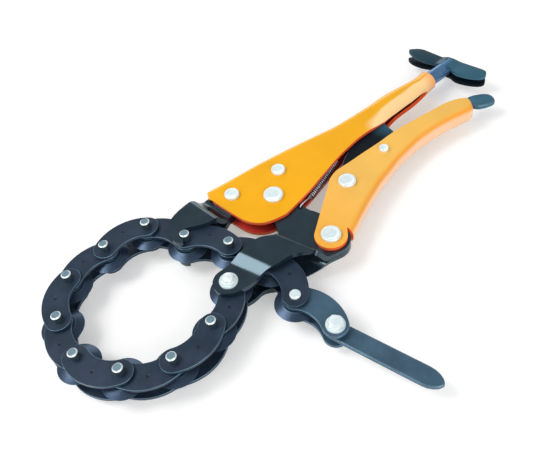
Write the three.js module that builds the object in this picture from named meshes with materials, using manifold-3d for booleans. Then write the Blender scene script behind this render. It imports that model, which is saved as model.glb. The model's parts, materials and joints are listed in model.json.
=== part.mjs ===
// Chain pipe cutter: locking pliers whose jaws close a chain of cutting wheels round a pipe.
// Millimetres, +Z up. The tool lies flat: every pivot stands along Z, and the screw handle
// points to +X. Places in plan are counted from the main pivot of the jaws until the last
// lines, which move the origin to the middle of the resting plane.

import * as THREE from 'three';
import { mergeVertices } from 'three/addons/utils/BufferGeometryUtils.js';
import Module from 'manifold-3d';

const wasm = await Module();
wasm.setup();

// Fits shared by all pieces
const runningFit = 0.3;
const axialFit = 0.3;
const seatGap = 0.05;
const overrun = 2;

// Chain
const chainPitch = 25;
const pinRadius = 2.6;
const pinChamfer = 0.6;
const pinReach = 4.3;
const tailPinHead = 0.7;
const tailPinReach = 1.5;
const linkSheet = 1.8;
const linkEndRadius = 6.6;
const linkBulge = 11;
const linkWaist = 3;
const wheelRadius = 11.3;
const wheelHubRadius = 5.6;
const wheelHubHalf = 2.9;
const wheelRingRadius = 7;
const wheelRingHalf = 1.9;
const strapLength = 54.5;
const strapWidth = 10.2;
const strapSheet = 2.6;

// Headings in degrees of the links that go round the pipe from the anchor bolt to the hook,
// then of the loose links, and of the strap at their end
const loopHeadings = [206, 179.3, 143, 111.1, 73.6, 43.1, 1.2, -14.2, -71.6];
const tailHeadings = [-63.3, -77.3, -108, -89.7];
const strapHeading = -80.5;
const pinNames = ['i', 'h', 'g', 'f', 'e', 'd', 'c', 'b', 'a', 'j', 'k', 'l', 'm', 'n'];

// Sheets of the pliers, and levels above the middle plane, stacked outwards
const jawSheet = 2.8;
const jawSplit = 0.3;
const bodySheet = 2;
const leverSheet = 2;
const linkLow = wheelHubHalf + axialFit;
const innerLinkTop = linkLow + linkSheet;
const outerLinkLow = innerLinkTop + axialFit;
const outerLinkTop = outerLinkLow + linkSheet;
const pinTop = outerLinkTop + pinReach;
const earLow = innerLinkTop + axialFit;
const earTop = earLow + jawSheet;
const cheekLow = outerLinkTop + axialFit;
const cheekTop = cheekLow + jawSheet;
const tailPinTop = outerLinkTop + tailPinReach;
const flareLow = tailPinTop + axialFit;
const flareTop = flareLow + jawSheet;
const tangLow = jawSplit / 2;
const tangTop = tangLow + jawSheet;
const wallLow = tangTop + runningFit;
const bodyHalf = wallLow + bodySheet;
const leverHalf = wallLow + leverSheet;
const toggleHalf = tangTop;

// Places of the pivots, the rivets and the anchor bolt
const jawReach = 58.4;
const jawDrop = 23.7;
const leverBack = 2.5;
const leverDrop = 43.5;
const leverLength = 134.2;
const toggleShare = 0.2638;
const toggleDrop = 26.1;
const releaseShare = 0.509;
const releaseDrop = 26.8;
const frontRivetBehind = 9.7;
const frontRivetRise = 19.1;
const upperRivetAhead = 16.2;
const upperRivetRise = 11.1;

// Shanks and heads of the rivets and bolts
const rivetHeadHeight = 2;
const rivetChamfer = 0.8;
const mainRivet = { shank: 4, head: 5.6 };
const frontRivet = { shank: 3, head: 4.3 };
const upperRivet = { shank: 2.8, head: 4.1 };
const leverRivet = { shank: 3.8, head: 5.4 };
const toggleRivet = { shank: 3.6, head: 5 };
const releaseRivet = { shank: 1.6, head: 2.8 };
const boltFlat = 4.7;
const boltHeadHeight = 3.4;
const boltWasherRadius = 5.6;
const boltWasherHeight = 1;
const boltTail = 0.1;

// Body shell: a folded channel whose feet curl into a tube round the screw
const bodyReach = 138.3;
const bodyBehindBend = 4.3;
const bodyRise = 35;
const bodyFall = 14.7;
const bodyBulge = 1.15;
const bodyCorner = 3;
const bodyTubeCorner = 5.8;
const bodyFoot = 9.2;
const bodyCurl = 1.4;
const bodyStationShares = [
  0, 0.096, 0.222, 0.349, 0.475, 0.538, 0.602, 0.665, 0.69, 0.727, 0.755, 0.791, 0.854, 0.918,
  0.955, 0.981, 1,
];
const bodyTopShares = [
  1, 0.89, 0.76, 0.6, 0.42, 0.326, 0.26, 0.206, 0.185, 0.16, 0.15, 0.137, 0.07, 0, -0.02,
  -0.031, -0.037,
];
const bodyFootShares = [
  1, 1, 0.93, 0.75, 0.61, 0.6, 0.67, 0.8, 0.83, 0.83, 0.85, 0.89, 0.96, 0.97, 0.967, 0.96, 0.953,
];
const bodyBulgeShares = [0, 0, 0, 0, 0, 0, 0.04, 0.3, 0.78, 0.88, 0.95, 1, 1, 1, 1, 1, 1];
const bodyCornerShares = [
  0, 0, 0, 0, 0, 0.05, 0.1, 0.15, 0.25, 0.4, 0.7, 1, 1, 1, 1, 1, 1,
];
const bodyCurlShares = [0, 0, 0, 0, 0, 0, 0, 0, 0, 0.5, 0.93, 1, 1, 1, 1, 1, 1];
const bodyChinShares = [
  [0, 0.33], [0.003, 0.04], [0.015, -0.134], [0.041, -0.28], [0.078, -0.366], [0.12, -0.43],
];
const bodyBrowShares = [[0, 0.83], [0.022, 0.975]];

// Lower lever: the same kind of channel, open towards the body
const leverStart = 9.4;
const leverCorner = 3;
const leverBulge = 0.6;
const leverEarRadius = 9.4;
const leverEarShare = 0.107;
const leverStationShares = [
  0, 0.0398, 0.1183, 0.1753, 0.229, 0.314, 0.3796, 0.4935, 0.5968,
  0.714, 0.8247, 0.8978, 0.972, 1,
];
const leverSpineShares = [
  1.17, 1.136, 1.069, 1.025, 0.989, 0.938, 0.917, 0.88, 0.88, 0.922, 0.993, 1.062, 1.131, 1.159,
];
const leverEdgeShares = [
  0.648, 0.605, 0.492, 0.389, 0.361, 0.398, 0.425, 0.478, 0.52, 0.602, 0.685, 0.74, 0.846, 0.929,
];
const leverBulgeShares = [0, 0, 0, 0, 0, 0, 0, 0, 0.5, 1, 1, 1, 0.8, 0.7];
const leverBrowShares = [[0.107, 0.605], [0.034, 0.69], [-0.039, 0.763]];
const leverTailShares = [[0.963, 1.2], [1.0, 0.929]];

// Moving jaw: two bent plates, with the anchor ear ahead and the lever pivot below
const jawEarRadius = 8.2;
const jawHeelRadius = 9.5;
const jawToeRadius = 10.4;
const jawLean = 11;
const jawEarReach = 9.5;
const jawEarRun = 6.4;
const jawRearRun = 4;
const earToBend = 2.7;
const jawTopShares = [
  [0.16, 0.08], [0.22, 0.3], [0.31, 0.47], [0.402, 0.552], [0.524, 0.407], [0.683, 0.4],
  [0.844, 0.382],
];
const jawChinShares = [
  [1.07, 0.705], [0.916, 0.782], [0.762, 0.777], [0.634, 0.87], [0.535, 0.885],
  [0.452, 0.925], [0.375, 1.02], [0.27, 1.135],
];
const jawBackShares = [[-0.128, 0.74], [-0.116, 0.568], [-0.087, 0.474]];
const springHoleAhead = 3.7;
const springHoleDrop = 16.5;
const springHoleRadius = 1;

// Fixed jaw: two bent plates with the hook for a chain pin, riveted inside the body
const hookGap = 0.4;
const hookHalfTurn = [215, 65];
const hookToBend = 19.6;
const bendRun = 4.8;
const tangEndRadius = 6.5;
const cheekTopShares = [
  [0.53, 0.86], [0.565, 0.87], [0.6, 0.886], [0.77, 0.886], [0.89, 0.829], [0.976, 0.686],
  [1.017, 0.511], [1.006, 0.4], [0.972, 0.34],
];
const cheekChinShares = [[0.837, 0.526], [0.769, 0.44], [0.683, 0.34], [0.548, 0.283]];
const tangChinShares = [[0.3, 0.31], [-0.12, 0.32]];
const tangTailShares = [[-0.36, 0.52]];
const tangBehindFront = 8.5;
const tangTopShare = 0.85;

// Toggle link, from the lever to the tip of the screw
const toggleTipShare = 0.6926;
const toggleRise = 22.6;
const toggleEndRadius = 7.5;
const toggleNoseRadius = 3;
const toggleOverRelease = 4;
const toggleBeforeRelease = 5.8;
const toggleUnderShares = [[0.919, 0.239], [0.965, 0.62]];
const toggleTopShares = [[0.6, 0.85], [0.3, 0.68], [0.08, 0.42]];

// Release lever, hung inside the lower lever
const releaseReachShare = 0.6058;
const releaseFall = 26.7;
const releaseHalf = 1.7;
const releaseTopShares = [
  [-0.127, 0.007], [-0.108, -0.075], [0, -0.116], [0.1, -0.067], [0.21, -0.079],
  [0.28, -0.172], [0.316, -0.195], [0.36, -0.135], [0.396, 0.007], [0.47, 0.18],
  [0.654, 0.375], [0.79, 0.457], [0.886, 0.386],
];
const releaseThumbShares = [
  [0.993, 0.663], [1, 0.824], [0.97, 0.966], [0.939, 1], [0.818, 0.816], [0.797, 0.682],
];
const releaseUnderShares = [
  [0.753, 0.607], [0.654, 0.517], [0.47, 0.36], [0.31, 0.157], [0.15, 0.112], [0, 0.12],
  [-0.096, 0.1],
];

// Adjusting screw and its cross handle
const screwRadius = 3.8;
const screwTipRadius = 2.6;
const screwNeckRadius = 4.7;
const screwRootRadius = 3.2;
const screwNeckLength = 14;
const screwTipGap = 3;
const screwSlope = 7;
const screwAxisDrop = 7.7;
const screwEndGap = 0.8;
const handleSheet = 2;
const handleHalf = 3.6;
const handleWidth = 10.3;
const handleReach = 27.75;
const handleCrown = 0.9;
const handleShares = [
  [0, 0.2], [-0.24, 0.47], [-0.23, 0.777], [0.02, 0.975], [0.175, 1], [0.7, 0.795],
  [1, -0.877], [0.815, -0.95], [0.495, -1], [0.175, -0.935], [-0.136, -0.7],
  [-0.29, -0.395], [0, -0.18],
];

// Return spring: a close coil between the moving jaw and the body
const springWire = 0.45;
const springCoilRadius = 1.75;
const springPitch = 1.42;
const springCurls = 22;
const springLead = 11.4;
const springAnchorAhead = 50.5;
const springAnchorDrop = 6.3;
const springHookHeight = 0.95;

// Counts of sides and steps
const holeSides = 12;
const pinSides = 14;
const wheelSides = 18;
const headSides = 16;
const screwSides = 16;
const hexSides = 6;
const curlSteps = 8;
const wireSides = 5;

const toRadians = THREE.MathUtils.degToRad;
const turn = Math.PI * 2;

const steel = { color: 0x333c43, roughness: 0.42, metalness: 0.75 };
const wheelSteel = { color: 0x46525c, roughness: 0.3, metalness: 0.85 };
const zinc = { color: 0xd9dcdc, roughness: 0.28, metalness: 0.9 };
const amber = { color: 0xf2a51e, roughness: 0.3, metalness: 0.1 };
const peach = { color: 0xf6a94f, roughness: 0.3, metalness: 0.1 };
const teal = { color: 0x2f555c, roughness: 0.38, metalness: 0.4 };
const wireSteel = { color: 0x8d9296, roughness: 0.35, metalness: 0.9 };

function place(x, y) {
  return new THREE.Vector2(x, y);
}

const mainPivot = place(0, 0);
const anchor = place(-jawReach, -jawDrop);
const leverPivot = place(-leverBack, -leverDrop);
const togglePivot = place(leverPivot.x + toggleShare * leverLength, -toggleDrop);
const releasePivot = place(leverPivot.x + releaseShare * leverLength, -releaseDrop);
const upperRivetPlace = place(upperRivetAhead, upperRivetRise);
const springHole = place(springHoleAhead, -springHoleDrop);
const springAnchor = place(springAnchorAhead, -springAnchorDrop);

// Pins of the chain, one pitch apart, from the anchor bolt on
const headings = [...loopHeadings, ...tailHeadings].map(toRadians);
const pins = [anchor];
for (const heading of headings) {
  const step = place(Math.cos(heading), Math.sin(heading));
  pins.push(pins[pins.length - 1].clone().addScaledVector(step, chainPitch));
}
const hookPin = pins[loopHeadings.length];

// The bends of the fixed jaw, the front of the body and its rivet follow the hook pin. The
// inner levers follow the shells that they work in.
const cheekBend = -hookPin.x - hookToBend;
const tangBend = cheekBend - bendRun;
const bodyFront = tangBend - bodyBehindBend;
const bodyLength = bodyFront + bodyReach;
const frontRivetPlace = place(frontRivetBehind - bodyFront, frontRivetRise);
const toggleReach = toggleTipShare * bodyLength - bodyFront - togglePivot.x;
const releaseReach = releaseReachShare * leverLength;

// A closed three.js geometry becomes a solid that can be cut and joined
function solidFrom(geometry) {
  geometry.deleteAttribute('normal');
  geometry.deleteAttribute('uv');
  const merged = mergeVertices(geometry);
  return new wasm.Manifold(new wasm.Mesh({
    numProp: 3,
    vertProperties: Float32Array.from(merged.attributes.position.array),
    triVerts: Uint32Array.from(merged.index.array),
  }));
}

function geometryFrom(solid) {
  const mesh = solid.getMesh();
  const geometry = new THREE.BufferGeometry();
  geometry.setAttribute('position', new THREE.BufferAttribute(mesh.vertProperties, 3));
  geometry.setIndex(new THREE.BufferAttribute(mesh.triVerts, 1));
  geometry.computeVertexNormals();
  return geometry;
}

function piece(name, solid, finish) {
  const mesh = new THREE.Mesh(geometryFrom(solid), new THREE.MeshStandardMaterial(finish));
  mesh.name = name;
  return mesh;
}

function flipped(solid) {
  return solid.mirror([0, 0, 1]);
}

function arc(centre, radius, from, to, steps) {
  const points = [];
  for (let i = 0; i <= steps; i += 1) {
    const angle = toRadians(from + (to - from) * i / steps);
    points.push(place(
      centre.x + radius * Math.cos(angle),
      centre.y + radius * Math.sin(angle),
    ));
  }
  return points;
}

function ring(centre, radius, sides) {
  return arc(centre, radius, 0, 360 * (sides - 1) / sides, sides - 1);
}

// Shares of a width and a depth, counted from a place
function spread(shares, origin, width, depth) {
  return shares.map(([x, y]) => place(origin.x + x * width, origin.y + y * depth));
}

// A flat plate from an outline, with round holes, between two levels
function plate(outline, holes, low, high) {
  const shape = new THREE.Shape(outline);
  for (const hole of holes) {
    shape.holes.push(new THREE.Path(ring(hole.centre, hole.radius, holeSides)));
  }
  const geometry = new THREE.ExtrudeGeometry(shape, { depth: high - low, bevelEnabled: false });
  geometry.translate(0, 0, low);
  return solidFrom(geometry);
}

// A turned piece about a vertical axis, from a profile of radii and levels
function turned(profile, sides, centre) {
  const points = profile.map(([radius, level]) => place(radius, level));
  const geometry = new THREE.LatheGeometry(points, sides);
  geometry.rotateX(Math.PI / 2);
  geometry.translate(centre.x, centre.y, 0);
  return solidFrom(geometry);
}

function post(centre, radius, low, high, sides) {
  return turned([[0, low], [radius, low], [radius, high], [0, high]], sides, centre);
}

function hexPost(centre, flat, low, high) {
  return plate(ring(centre, flat / Math.cos(Math.PI / hexSides), hexSides), [], low, high);
}

function drilled(solid, hole, low, high) {
  return solid.subtract(post(hole.centre, hole.radius, low, high, holeSides));
}

function holeFor(centre, shank) {
  return { centre, radius: shank + runningFit };
}

// The parallel of an open path at a distance to its right
function parallel(path, distance) {
  return path.map((point, i) => {
    const before = path[Math.max(i - 1, 0)];
    const after = path[Math.min(i + 1, path.length - 1)];
    const into = (i > 0 ? point.clone().sub(before) : after.clone().sub(point)).normalize();
    const out = (after === point ? into.clone() : after.clone().sub(point)).normalize();
    const normal = place(into.y + out.y, -into.x - out.x).normalize();
    const stretch = normal.x * into.y - normal.y * into.x;
    return point.clone().addScaledVector(normal, distance / stretch);
  });
}

// A sheet that jogs between levels. Its side profile runs across the bend lines, which lean
// from the Y axis by the given degrees, and its outline in plan cuts it out.
function joggedSheet(topProfile, lean, outline, holes) {
  const under = parallel(topProfile, jawSheet).reverse();
  const width = (jawReach + leverDrop) * 2;
  const shape = new THREE.Shape([...topProfile, ...under].reverse());
  const geometry = new THREE.ExtrudeGeometry(shape, { depth: width, bevelEnabled: false });
  geometry.translate(0, 0, -width / 2);
  geometry.rotateX(Math.PI / 2);
  geometry.rotateZ(toRadians(lean));
  return solidFrom(geometry).intersect(plate(outline, holes, -overrun, flareTop + overrun));
}

// Half a section of a folded channel: spine, corner, wall and curled foot, as points of
// depth and level, with the way that each one faces
function channelHalf(section) {
  const { spine, foot, half, corner, curl, footLength } = section;
  const depth = Math.abs(spine - foot);
  const points = [[0, 0, -1, 0], [0, half - corner, -1, 0]];
  for (const angle of [45, 90].map(toRadians)) {
    const away = corner * (1 - Math.cos(angle));
    const rise = corner * Math.sin(angle);
    points.push([away, half - corner + rise, -Math.cos(angle), Math.sin(angle)]);
  }
  const bend = curl > 0 ? footLength / curl : 0;
  const footDepth = curl > 0 ? bend * Math.sin(curl) : footLength;
  const start = depth - footDepth;
  points.push([start, half, 0, 1]);
  if (footLength > 0) {
    for (const step of [0.25, 0.5, 0.75, 1]) {
      const angle = curl * step;
      const along = curl > 0 ? bend * Math.sin(angle) : footLength * step;
      const inward = curl > 0 ? bend * (1 - Math.cos(angle)) : 0;
      points.push([start + along, half - inward, Math.sin(angle), Math.cos(angle)]);
    }
  }
  return points;
}

// A folded channel swept through its sections along X, closed as one sheet
function channel(sections, sheet) {
  const rings = sections.map((section) => {
    const way = Math.sign(section.foot - section.spine);
    const half = channelHalf(section);
    const put = ([depth, level, , ], side) => [
      section.x, section.spine + way * depth, side * level,
    ];
    const inset = ([depth, level, out, up]) => [depth - sheet * out, level - sheet * up];
    const outer = [
      ...half.slice(1).reverse().map((point) => put(point, 1)),
      ...half.map((point) => put(point, -1)),
    ];
    const inner = [
      ...half.slice(1).reverse().map((point) => put(inset(point), 1)),
      ...half.map((point) => put(inset(point), -1)),
    ];
    return { outer, inner, way };
  });
  const count = rings[0].outer.length;
  const loop = rings.map(({ outer, inner }) => [...outer, ...inner.reverse()]);
  const positions = loop.flat(2);
  const size = count * 2;
  const faces = [];
  for (let i = 0; i < loop.length - 1; i += 1) {
    for (let j = 0; j < size; j += 1) {
      const a = i * size + j;
      const b = i * size + (j + 1) % size;
      faces.push(a, b, a + size, b, b + size, a + size);
    }
  }
  const last = (loop.length - 1) * size;
  for (let j = 0; j < count - 1; j += 1) {
    const k = size - 1 - j;
    faces.push(j, k, j + 1, j + 1, k, k - 1);
    faces.push(last + j, last + j + 1, last + k, last + j + 1, last + k - 1, last + k);
  }
  if (rings[0].way < 0) {
    faces.reverse();
  }
  const geometry = new THREE.BufferGeometry();
  geometry.setAttribute('position', new THREE.Float32BufferAttribute(positions, 3));
  geometry.setIndex(faces);
  return solidFrom(geometry);
}

// Chain

function linkOutline(first, heading) {
  const half = chainPitch / 2;
  const crown = (half ** 2 + linkBulge ** 2 - linkEndRadius ** 2)
    / (2 * (linkBulge - linkEndRadius));
  const dip = linkEndRadius - linkWaist;
  const waistDepth = (half ** 2 - dip ** 2) / (2 * dip);
  const crownCentre = place(half, linkBulge - crown);
  const waistCentre = place(half, -waistDepth);
  const shoulder = THREE.MathUtils.radToDeg(Math.atan2(crown - linkBulge, half));
  const hip = THREE.MathUtils.radToDeg(Math.atan2(waistDepth, half));
  const far = place(chainPitch, 0);
  const outline = [
    ...arc(mainPivot, linkEndRadius, 180 - shoulder, 360 - hip, 7),
    ...arc(waistCentre, waistDepth - linkWaist, 180 - hip, hip, 4).slice(1, -1),
    ...arc(far, linkEndRadius, 180 + hip, 360 + shoulder, 7),
    ...arc(crownCentre, crown, shoulder, 180 - shoulder, 6).slice(1, -1),
  ];
  return outline.map((point) => point.rotateAround(mainPivot, heading).add(first));
}

function linkPlate(index, low) {
  const holes = [pins[index], pins[index + 1]].map((pin) => holeFor(pin, pinRadius));
  return plate(linkOutline(pins[index], headings[index]), holes, low, low + linkSheet);
}

// The lower plate of an outer link carries both pins, so it has no holes
function pinnedPlate(index) {
  const outline = linkOutline(pins[index], headings[index]);
  let solid = plate(outline, [], -outerLinkTop, -outerLinkLow);
  for (const end of [index, index + 1]) {
    solid = solid.add(end > loopHeadings.length + 1 ? shortPin(pins[end]) : tallPin(pins[end]));
  }
  return solid;
}

// A pin that stands well clear of the plates on both sides
function tallPin(centre) {
  const shoulder = pinTop - pinChamfer;
  const tip = pinRadius - pinChamfer;
  return turned([
    [0, -pinTop], [tip, -pinTop], [pinRadius, -shoulder],
    [pinRadius, shoulder], [tip, pinTop], [0, pinTop],
  ], pinSides, centre);
}

// A short pin with a flat round head on each side
function shortPin(centre) {
  const seat = outerLinkTop + seatGap;
  const head = pinRadius + tailPinHead;
  return turned([
    [0, -tailPinTop], [head, -tailPinTop], [head, -seat], [pinRadius, -seat],
    [pinRadius, seat], [head, seat], [head, tailPinTop], [0, tailPinTop],
  ], pinSides, centre);
}

function chain() {
  const group = new THREE.Group();
  for (let i = 0; i < headings.length; i += 1) {
    const name = `link_${pinNames[i]}${pinNames[i + 1]}`;
    const outer = i % 2 === 1;
    const upper = linkPlate(i, outer ? outerLinkLow : linkLow);
    group.add(piece(`${name}_upper`, upper, steel));
    if (outer) {
      group.add(piece(`${name}_lower_with_pins`, pinnedPlate(i), steel));
    } else {
      group.add(piece(`${name}_lower`, flipped(upper), steel));
    }
  }
  for (let i = 0; i < pins.length - 1; i += 1) {
    group.add(piece(`wheel_${pinNames[i]}`, wheel(pins[i]), wheelSteel));
  }
  return group;
}

function wheel(centre) {
  const bore = pinRadius + runningFit;
  return turned([
    [bore, -wheelHubHalf], [wheelHubRadius, -wheelHubHalf], [wheelRingRadius, -wheelRingHalf],
    [wheelRadius, 0],
    [wheelRingRadius, wheelRingHalf], [wheelHubRadius, wheelHubHalf], [bore, wheelHubHalf],
    [bore, -wheelHubHalf],
  ], wheelSides, centre);
}

function strap() {
  const half = strapWidth / 2;
  const tip = place(strapLength - half, 0);
  const outline = [
    ...arc(mainPivot, half, 90, 270, 6),
    ...arc(tip, half, -90, 90, 6),
  ];
  const pin = pins[pins.length - 1];
  const heading = toRadians(strapHeading);
  const placed = outline.map((point) => point.rotateAround(mainPivot, heading).add(pin));
  return plate(placed, [holeFor(pin, pinRadius)], -strapSheet / 2, strapSheet / 2);
}

// Bolts

function boltHead(centre, seat) {
  const washerTop = seat + boltWasherHeight;
  const washer = post(centre, boltWasherRadius, seat, washerTop, headSides);
  return washer.add(hexPost(centre, boltFlat, washerTop - seatGap, washerTop + boltHeadHeight));
}

function anchorBolt() {
  const seat = earTop + seatGap;
  const end = seat + boltHeadHeight + boltTail;
  const shank = post(anchor, pinRadius, -end, seat + boltWasherHeight, pinSides);
  return shank.add(boltHead(anchor, seat));
}

function anchorNut() {
  const seat = earTop + seatGap;
  const nut = hexPost(anchor, boltFlat, -seat - boltHeadHeight, -seat);
  return drilled(nut, holeFor(anchor, pinRadius), -flareTop, 0);
}

function strapBolt() {
  const pin = pins[pins.length - 1];
  const seat = innerLinkTop + seatGap;
  const shank = post(pin, pinRadius, -seat, seat + boltWasherHeight, pinSides);
  const top = seat + boltHeadHeight;
  const nut = hexPost(pin, boltFlat, -top, -seat);
  const washer = post(pin, boltWasherRadius, seat, seat + boltWasherHeight, headSides);
  return shank.add(nut).add(washer).add(hexPost(pin, boltFlat, seat, top));
}

function rivet(centre, { shank, head }) {
  const seat = bodyHalf + seatGap;
  const top = bodyHalf + rivetHeadHeight;
  return turned([
    [0, -top], [head - rivetChamfer, -top], [head, rivetChamfer - top], [head, -seat],
    [shank, -seat], [shank, seat],
    [head, seat], [head, top - rivetChamfer], [head - rivetChamfer, top], [0, top],
  ], headSides, centre);
}

// Pliers

function bodySections() {
  return bodyStationShares.map((share, i) => ({
    x: share * bodyLength - bodyFront,
    spine: bodyTopShares[i] * bodyRise,
    foot: -bodyFootShares[i] * bodyFall,
    half: bodyHalf + bodyBulgeShares[i] * bodyBulge,
    corner: bodyCorner + bodyCornerShares[i] * (bodyTubeCorner - bodyCorner),
    curl: bodyCurlShares[i] * bodyCurl,
    footLength: bodyFoot,
  }));
}

function bodyShell() {
  const front = place(-bodyFront, 0);
  const deep = bodyRise + bodyFall;
  const outline = [
    ...spread(bodyChinShares, front, bodyLength, bodyRise),
    place(0, -deep),
    place(bodyLength, -deep),
    place(bodyLength, deep),
    ...spread(bodyBrowShares, front, bodyLength, bodyRise).reverse(),
  ];
  const high = bodyHalf + bodyBulge + overrun;
  let shell = channel(bodySections(), bodySheet).intersect(plate(outline, [], -high, high));
  const rivets = [
    holeFor(mainPivot, mainRivet.shank),
    holeFor(frontRivetPlace, frontRivet.shank),
    holeFor(upperRivetPlace, upperRivet.shank),
  ];
  for (const hole of rivets) {
    shell = drilled(shell, hole, -high, high);
  }
  return drilled(shell, holeFor(springAnchor, springWire), -high, 0);
}

function leverPlace(x, y) {
  return place(leverPivot.x + x * leverLength, -y * leverDrop);
}

function leverSections() {
  return leverStationShares.map((share, i) => ({
    x: leverPivot.x + leverStart + share * (leverLength - leverStart),
    spine: -leverSpineShares[i] * leverDrop,
    foot: -leverEdgeShares[i] * leverDrop,
    half: leverHalf + leverBulgeShares[i] * leverBulge,
    corner: leverCorner,
    curl: 0,
    footLength: 0,
  }));
}

function leverShell() {
  const high = leverHalf + leverBulge + overrun;
  const [tailLow, tailHigh] = leverTailShares.map(([x, y]) => leverPlace(x, y));
  const trim = [
    place(leverPivot.x - leverLength, -leverDrop * 2),
    place(tailLow.x, -leverDrop * 2),
    tailLow,
    tailHigh,
    place(tailHigh.x, 0),
    place(leverPivot.x - leverLength, 0),
  ];
  const brow = leverBrowShares.map(([x, y]) => leverPlace(x, y));
  const join = leverPivot.x + leverEarShare * leverLength;
  const earFloor = leverPivot.y - leverEarRadius;
  const outline = [
    ...arc(leverPivot, leverEarRadius, 173, 270, 5),
    place(leverPivot.x + leverEarRadius / 2, earFloor + seatGap),
    place(join, earFloor + leverCorner * 2),
    ...brow,
  ];
  const ear = plate(outline, [], wallLow, leverHalf);
  let shell = channel(leverSections(), leverSheet).intersect(plate(trim, [], -high, high));
  shell = shell.add(ear).add(flipped(ear));
  const rivets = [
    holeFor(leverPivot, leverRivet.shank),
    holeFor(togglePivot, toggleRivet.shank),
    holeFor(releasePivot, releaseRivet.shank),
  ];
  for (const hole of rivets) {
    shell = drilled(shell, hole, -high, high);
  }
  return shell;
}

function movingJawPlate() {
  const shares = (table) => table.map(([x, y]) => place(-x * jawReach, -y * leverDrop));
  const outline = [
    ...arc(mainPivot, jawHeelRadius, -30, 190, 10),
    ...shares(jawTopShares),
    ...arc(anchor, jawEarRadius, 70, 200, 5),
    ...shares(jawChinShares),
    ...arc(leverPivot, jawToeRadius, 250, 372, 7),
    ...shares(jawBackShares),
  ];
  const holes = [
    holeFor(mainPivot, mainRivet.shank),
    holeFor(anchor, pinRadius),
    holeFor(leverPivot, leverRivet.shank),
    { centre: springHole, radius: springHoleRadius },
  ];
  const across = (x, y) => x * Math.cos(toRadians(jawLean)) + y * Math.sin(toRadians(jawLean));
  const earBend = across(anchor.x, anchor.y) + jawEarReach;
  const tangEdge = across(leverPivot.x - leverEarRadius - earToBend, leverPivot.y);
  const far = (jawReach + leverDrop) * 2;
  const profile = [
    place(-far, earTop),
    place(earBend, earTop),
    place(earBend + jawEarRun, flareTop),
    place(tangEdge - jawRearRun, flareTop),
    place(tangEdge, tangTop),
    place(far, tangTop),
  ];
  return joggedSheet(profile, jawLean, outline, holes);
}

function fixedJawPlate() {
  const shares = (table) => spread(table, mainPivot, -jawReach, bodyRise);
  const outline = [
    ...shares(cheekTopShares),
    ...arc(hookPin, pinRadius + hookGap, ...hookHalfTurn, 7),
    ...shares(cheekChinShares),
    ...shares(tangChinShares),
    ...arc(upperRivetPlace, tangEndRadius, -80, 70, 6),
    ...shares(tangTailShares),
    place(tangBehindFront - bodyFront, tangTopShare * bodyRise),
  ];
  const holes = [
    holeFor(frontRivetPlace, frontRivet.shank),
    holeFor(upperRivetPlace, upperRivet.shank),
  ];
  const profile = [
    place(-jawReach * 2, cheekTop),
    place(-cheekBend, cheekTop),
    place(-tangBend, tangTop),
    place(jawReach * 2, tangTop),
  ];
  return joggedSheet(profile, 0, outline, holes);
}

function toggleLink() {
  const nose = place(
    togglePivot.x + toggleReach - toggleNoseRadius,
    togglePivot.y + toggleRise,
  );
  const outline = [
    ...arc(togglePivot, toggleEndRadius, 125, 285, 8),
    place(releasePivot.x - toggleBeforeRelease, releasePivot.y + toggleOverRelease),
    ...spread(toggleUnderShares, togglePivot, toggleReach, toggleRise),
    ...arc(nose, toggleNoseRadius, -20, 100, 5),
    ...spread(toggleTopShares, togglePivot, toggleReach, toggleRise),
  ];
  const holes = [holeFor(togglePivot, toggleRivet.shank)];
  return plate(outline, holes, -toggleHalf, toggleHalf);
}

function releaseLever() {
  const shares = [...releaseTopShares, ...releaseThumbShares, ...releaseUnderShares];
  const outline = spread(shares, releasePivot, releaseReach, -releaseFall).reverse();
  return plate(outline, [holeFor(releasePivot, releaseRivet.shank)], -releaseHalf, releaseHalf);
}

// Screw axis: it leaves the tube at the rear end of the body and slopes down to the handle
const screwTip = togglePivot.x + toggleReach + screwTipGap;
const screwLength = (bodyReach - screwTip) / Math.cos(toRadians(screwSlope)) + screwNeckLength;

function alongScrew(solid) {
  return solid.rotate([0, 90, 0]).rotate([0, 0, -screwSlope])
    .translate([bodyReach, -screwAxisDrop, 0]);
}

function adjustingScrew() {
  const start = screwNeckLength - screwLength;
  const chamfer = screwRadius - screwTipRadius;
  const shank = turned([
    [0, start], [screwTipRadius, start], [screwRadius, start + chamfer],
    [screwRadius, -chamfer], [screwRootRadius, 0],
    [screwNeckRadius, screwEndGap + chamfer],
    [screwNeckRadius, screwNeckLength], [0, screwNeckLength],
  ], screwSides, mainPivot);
  return alongScrew(shank);
}

function crossHandle() {
  const start = screwNeckLength + axialFit;
  const centre = alongScrewPlace(start + handleCrown);
  const outline = spread(handleShares, centre, handleWidth, handleReach).reverse();
  const upper = plate(outline, [], handleHalf - handleSheet, handleHalf);
  const stem = [
    [0, start], [screwNeckRadius, start], [screwNeckRadius, start + handleWidth - handleSheet],
    [0, start + handleWidth - handleSheet],
  ];
  return upper.add(flipped(upper)).add(alongScrew(turned(stem, screwSides, mainPivot)));
}

function alongScrewPlace(distance) {
  const angle = toRadians(-screwSlope);
  return place(
    bodyReach + distance * Math.cos(angle),
    distance * Math.sin(angle) - screwAxisDrop,
  );
}

// Return spring

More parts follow.
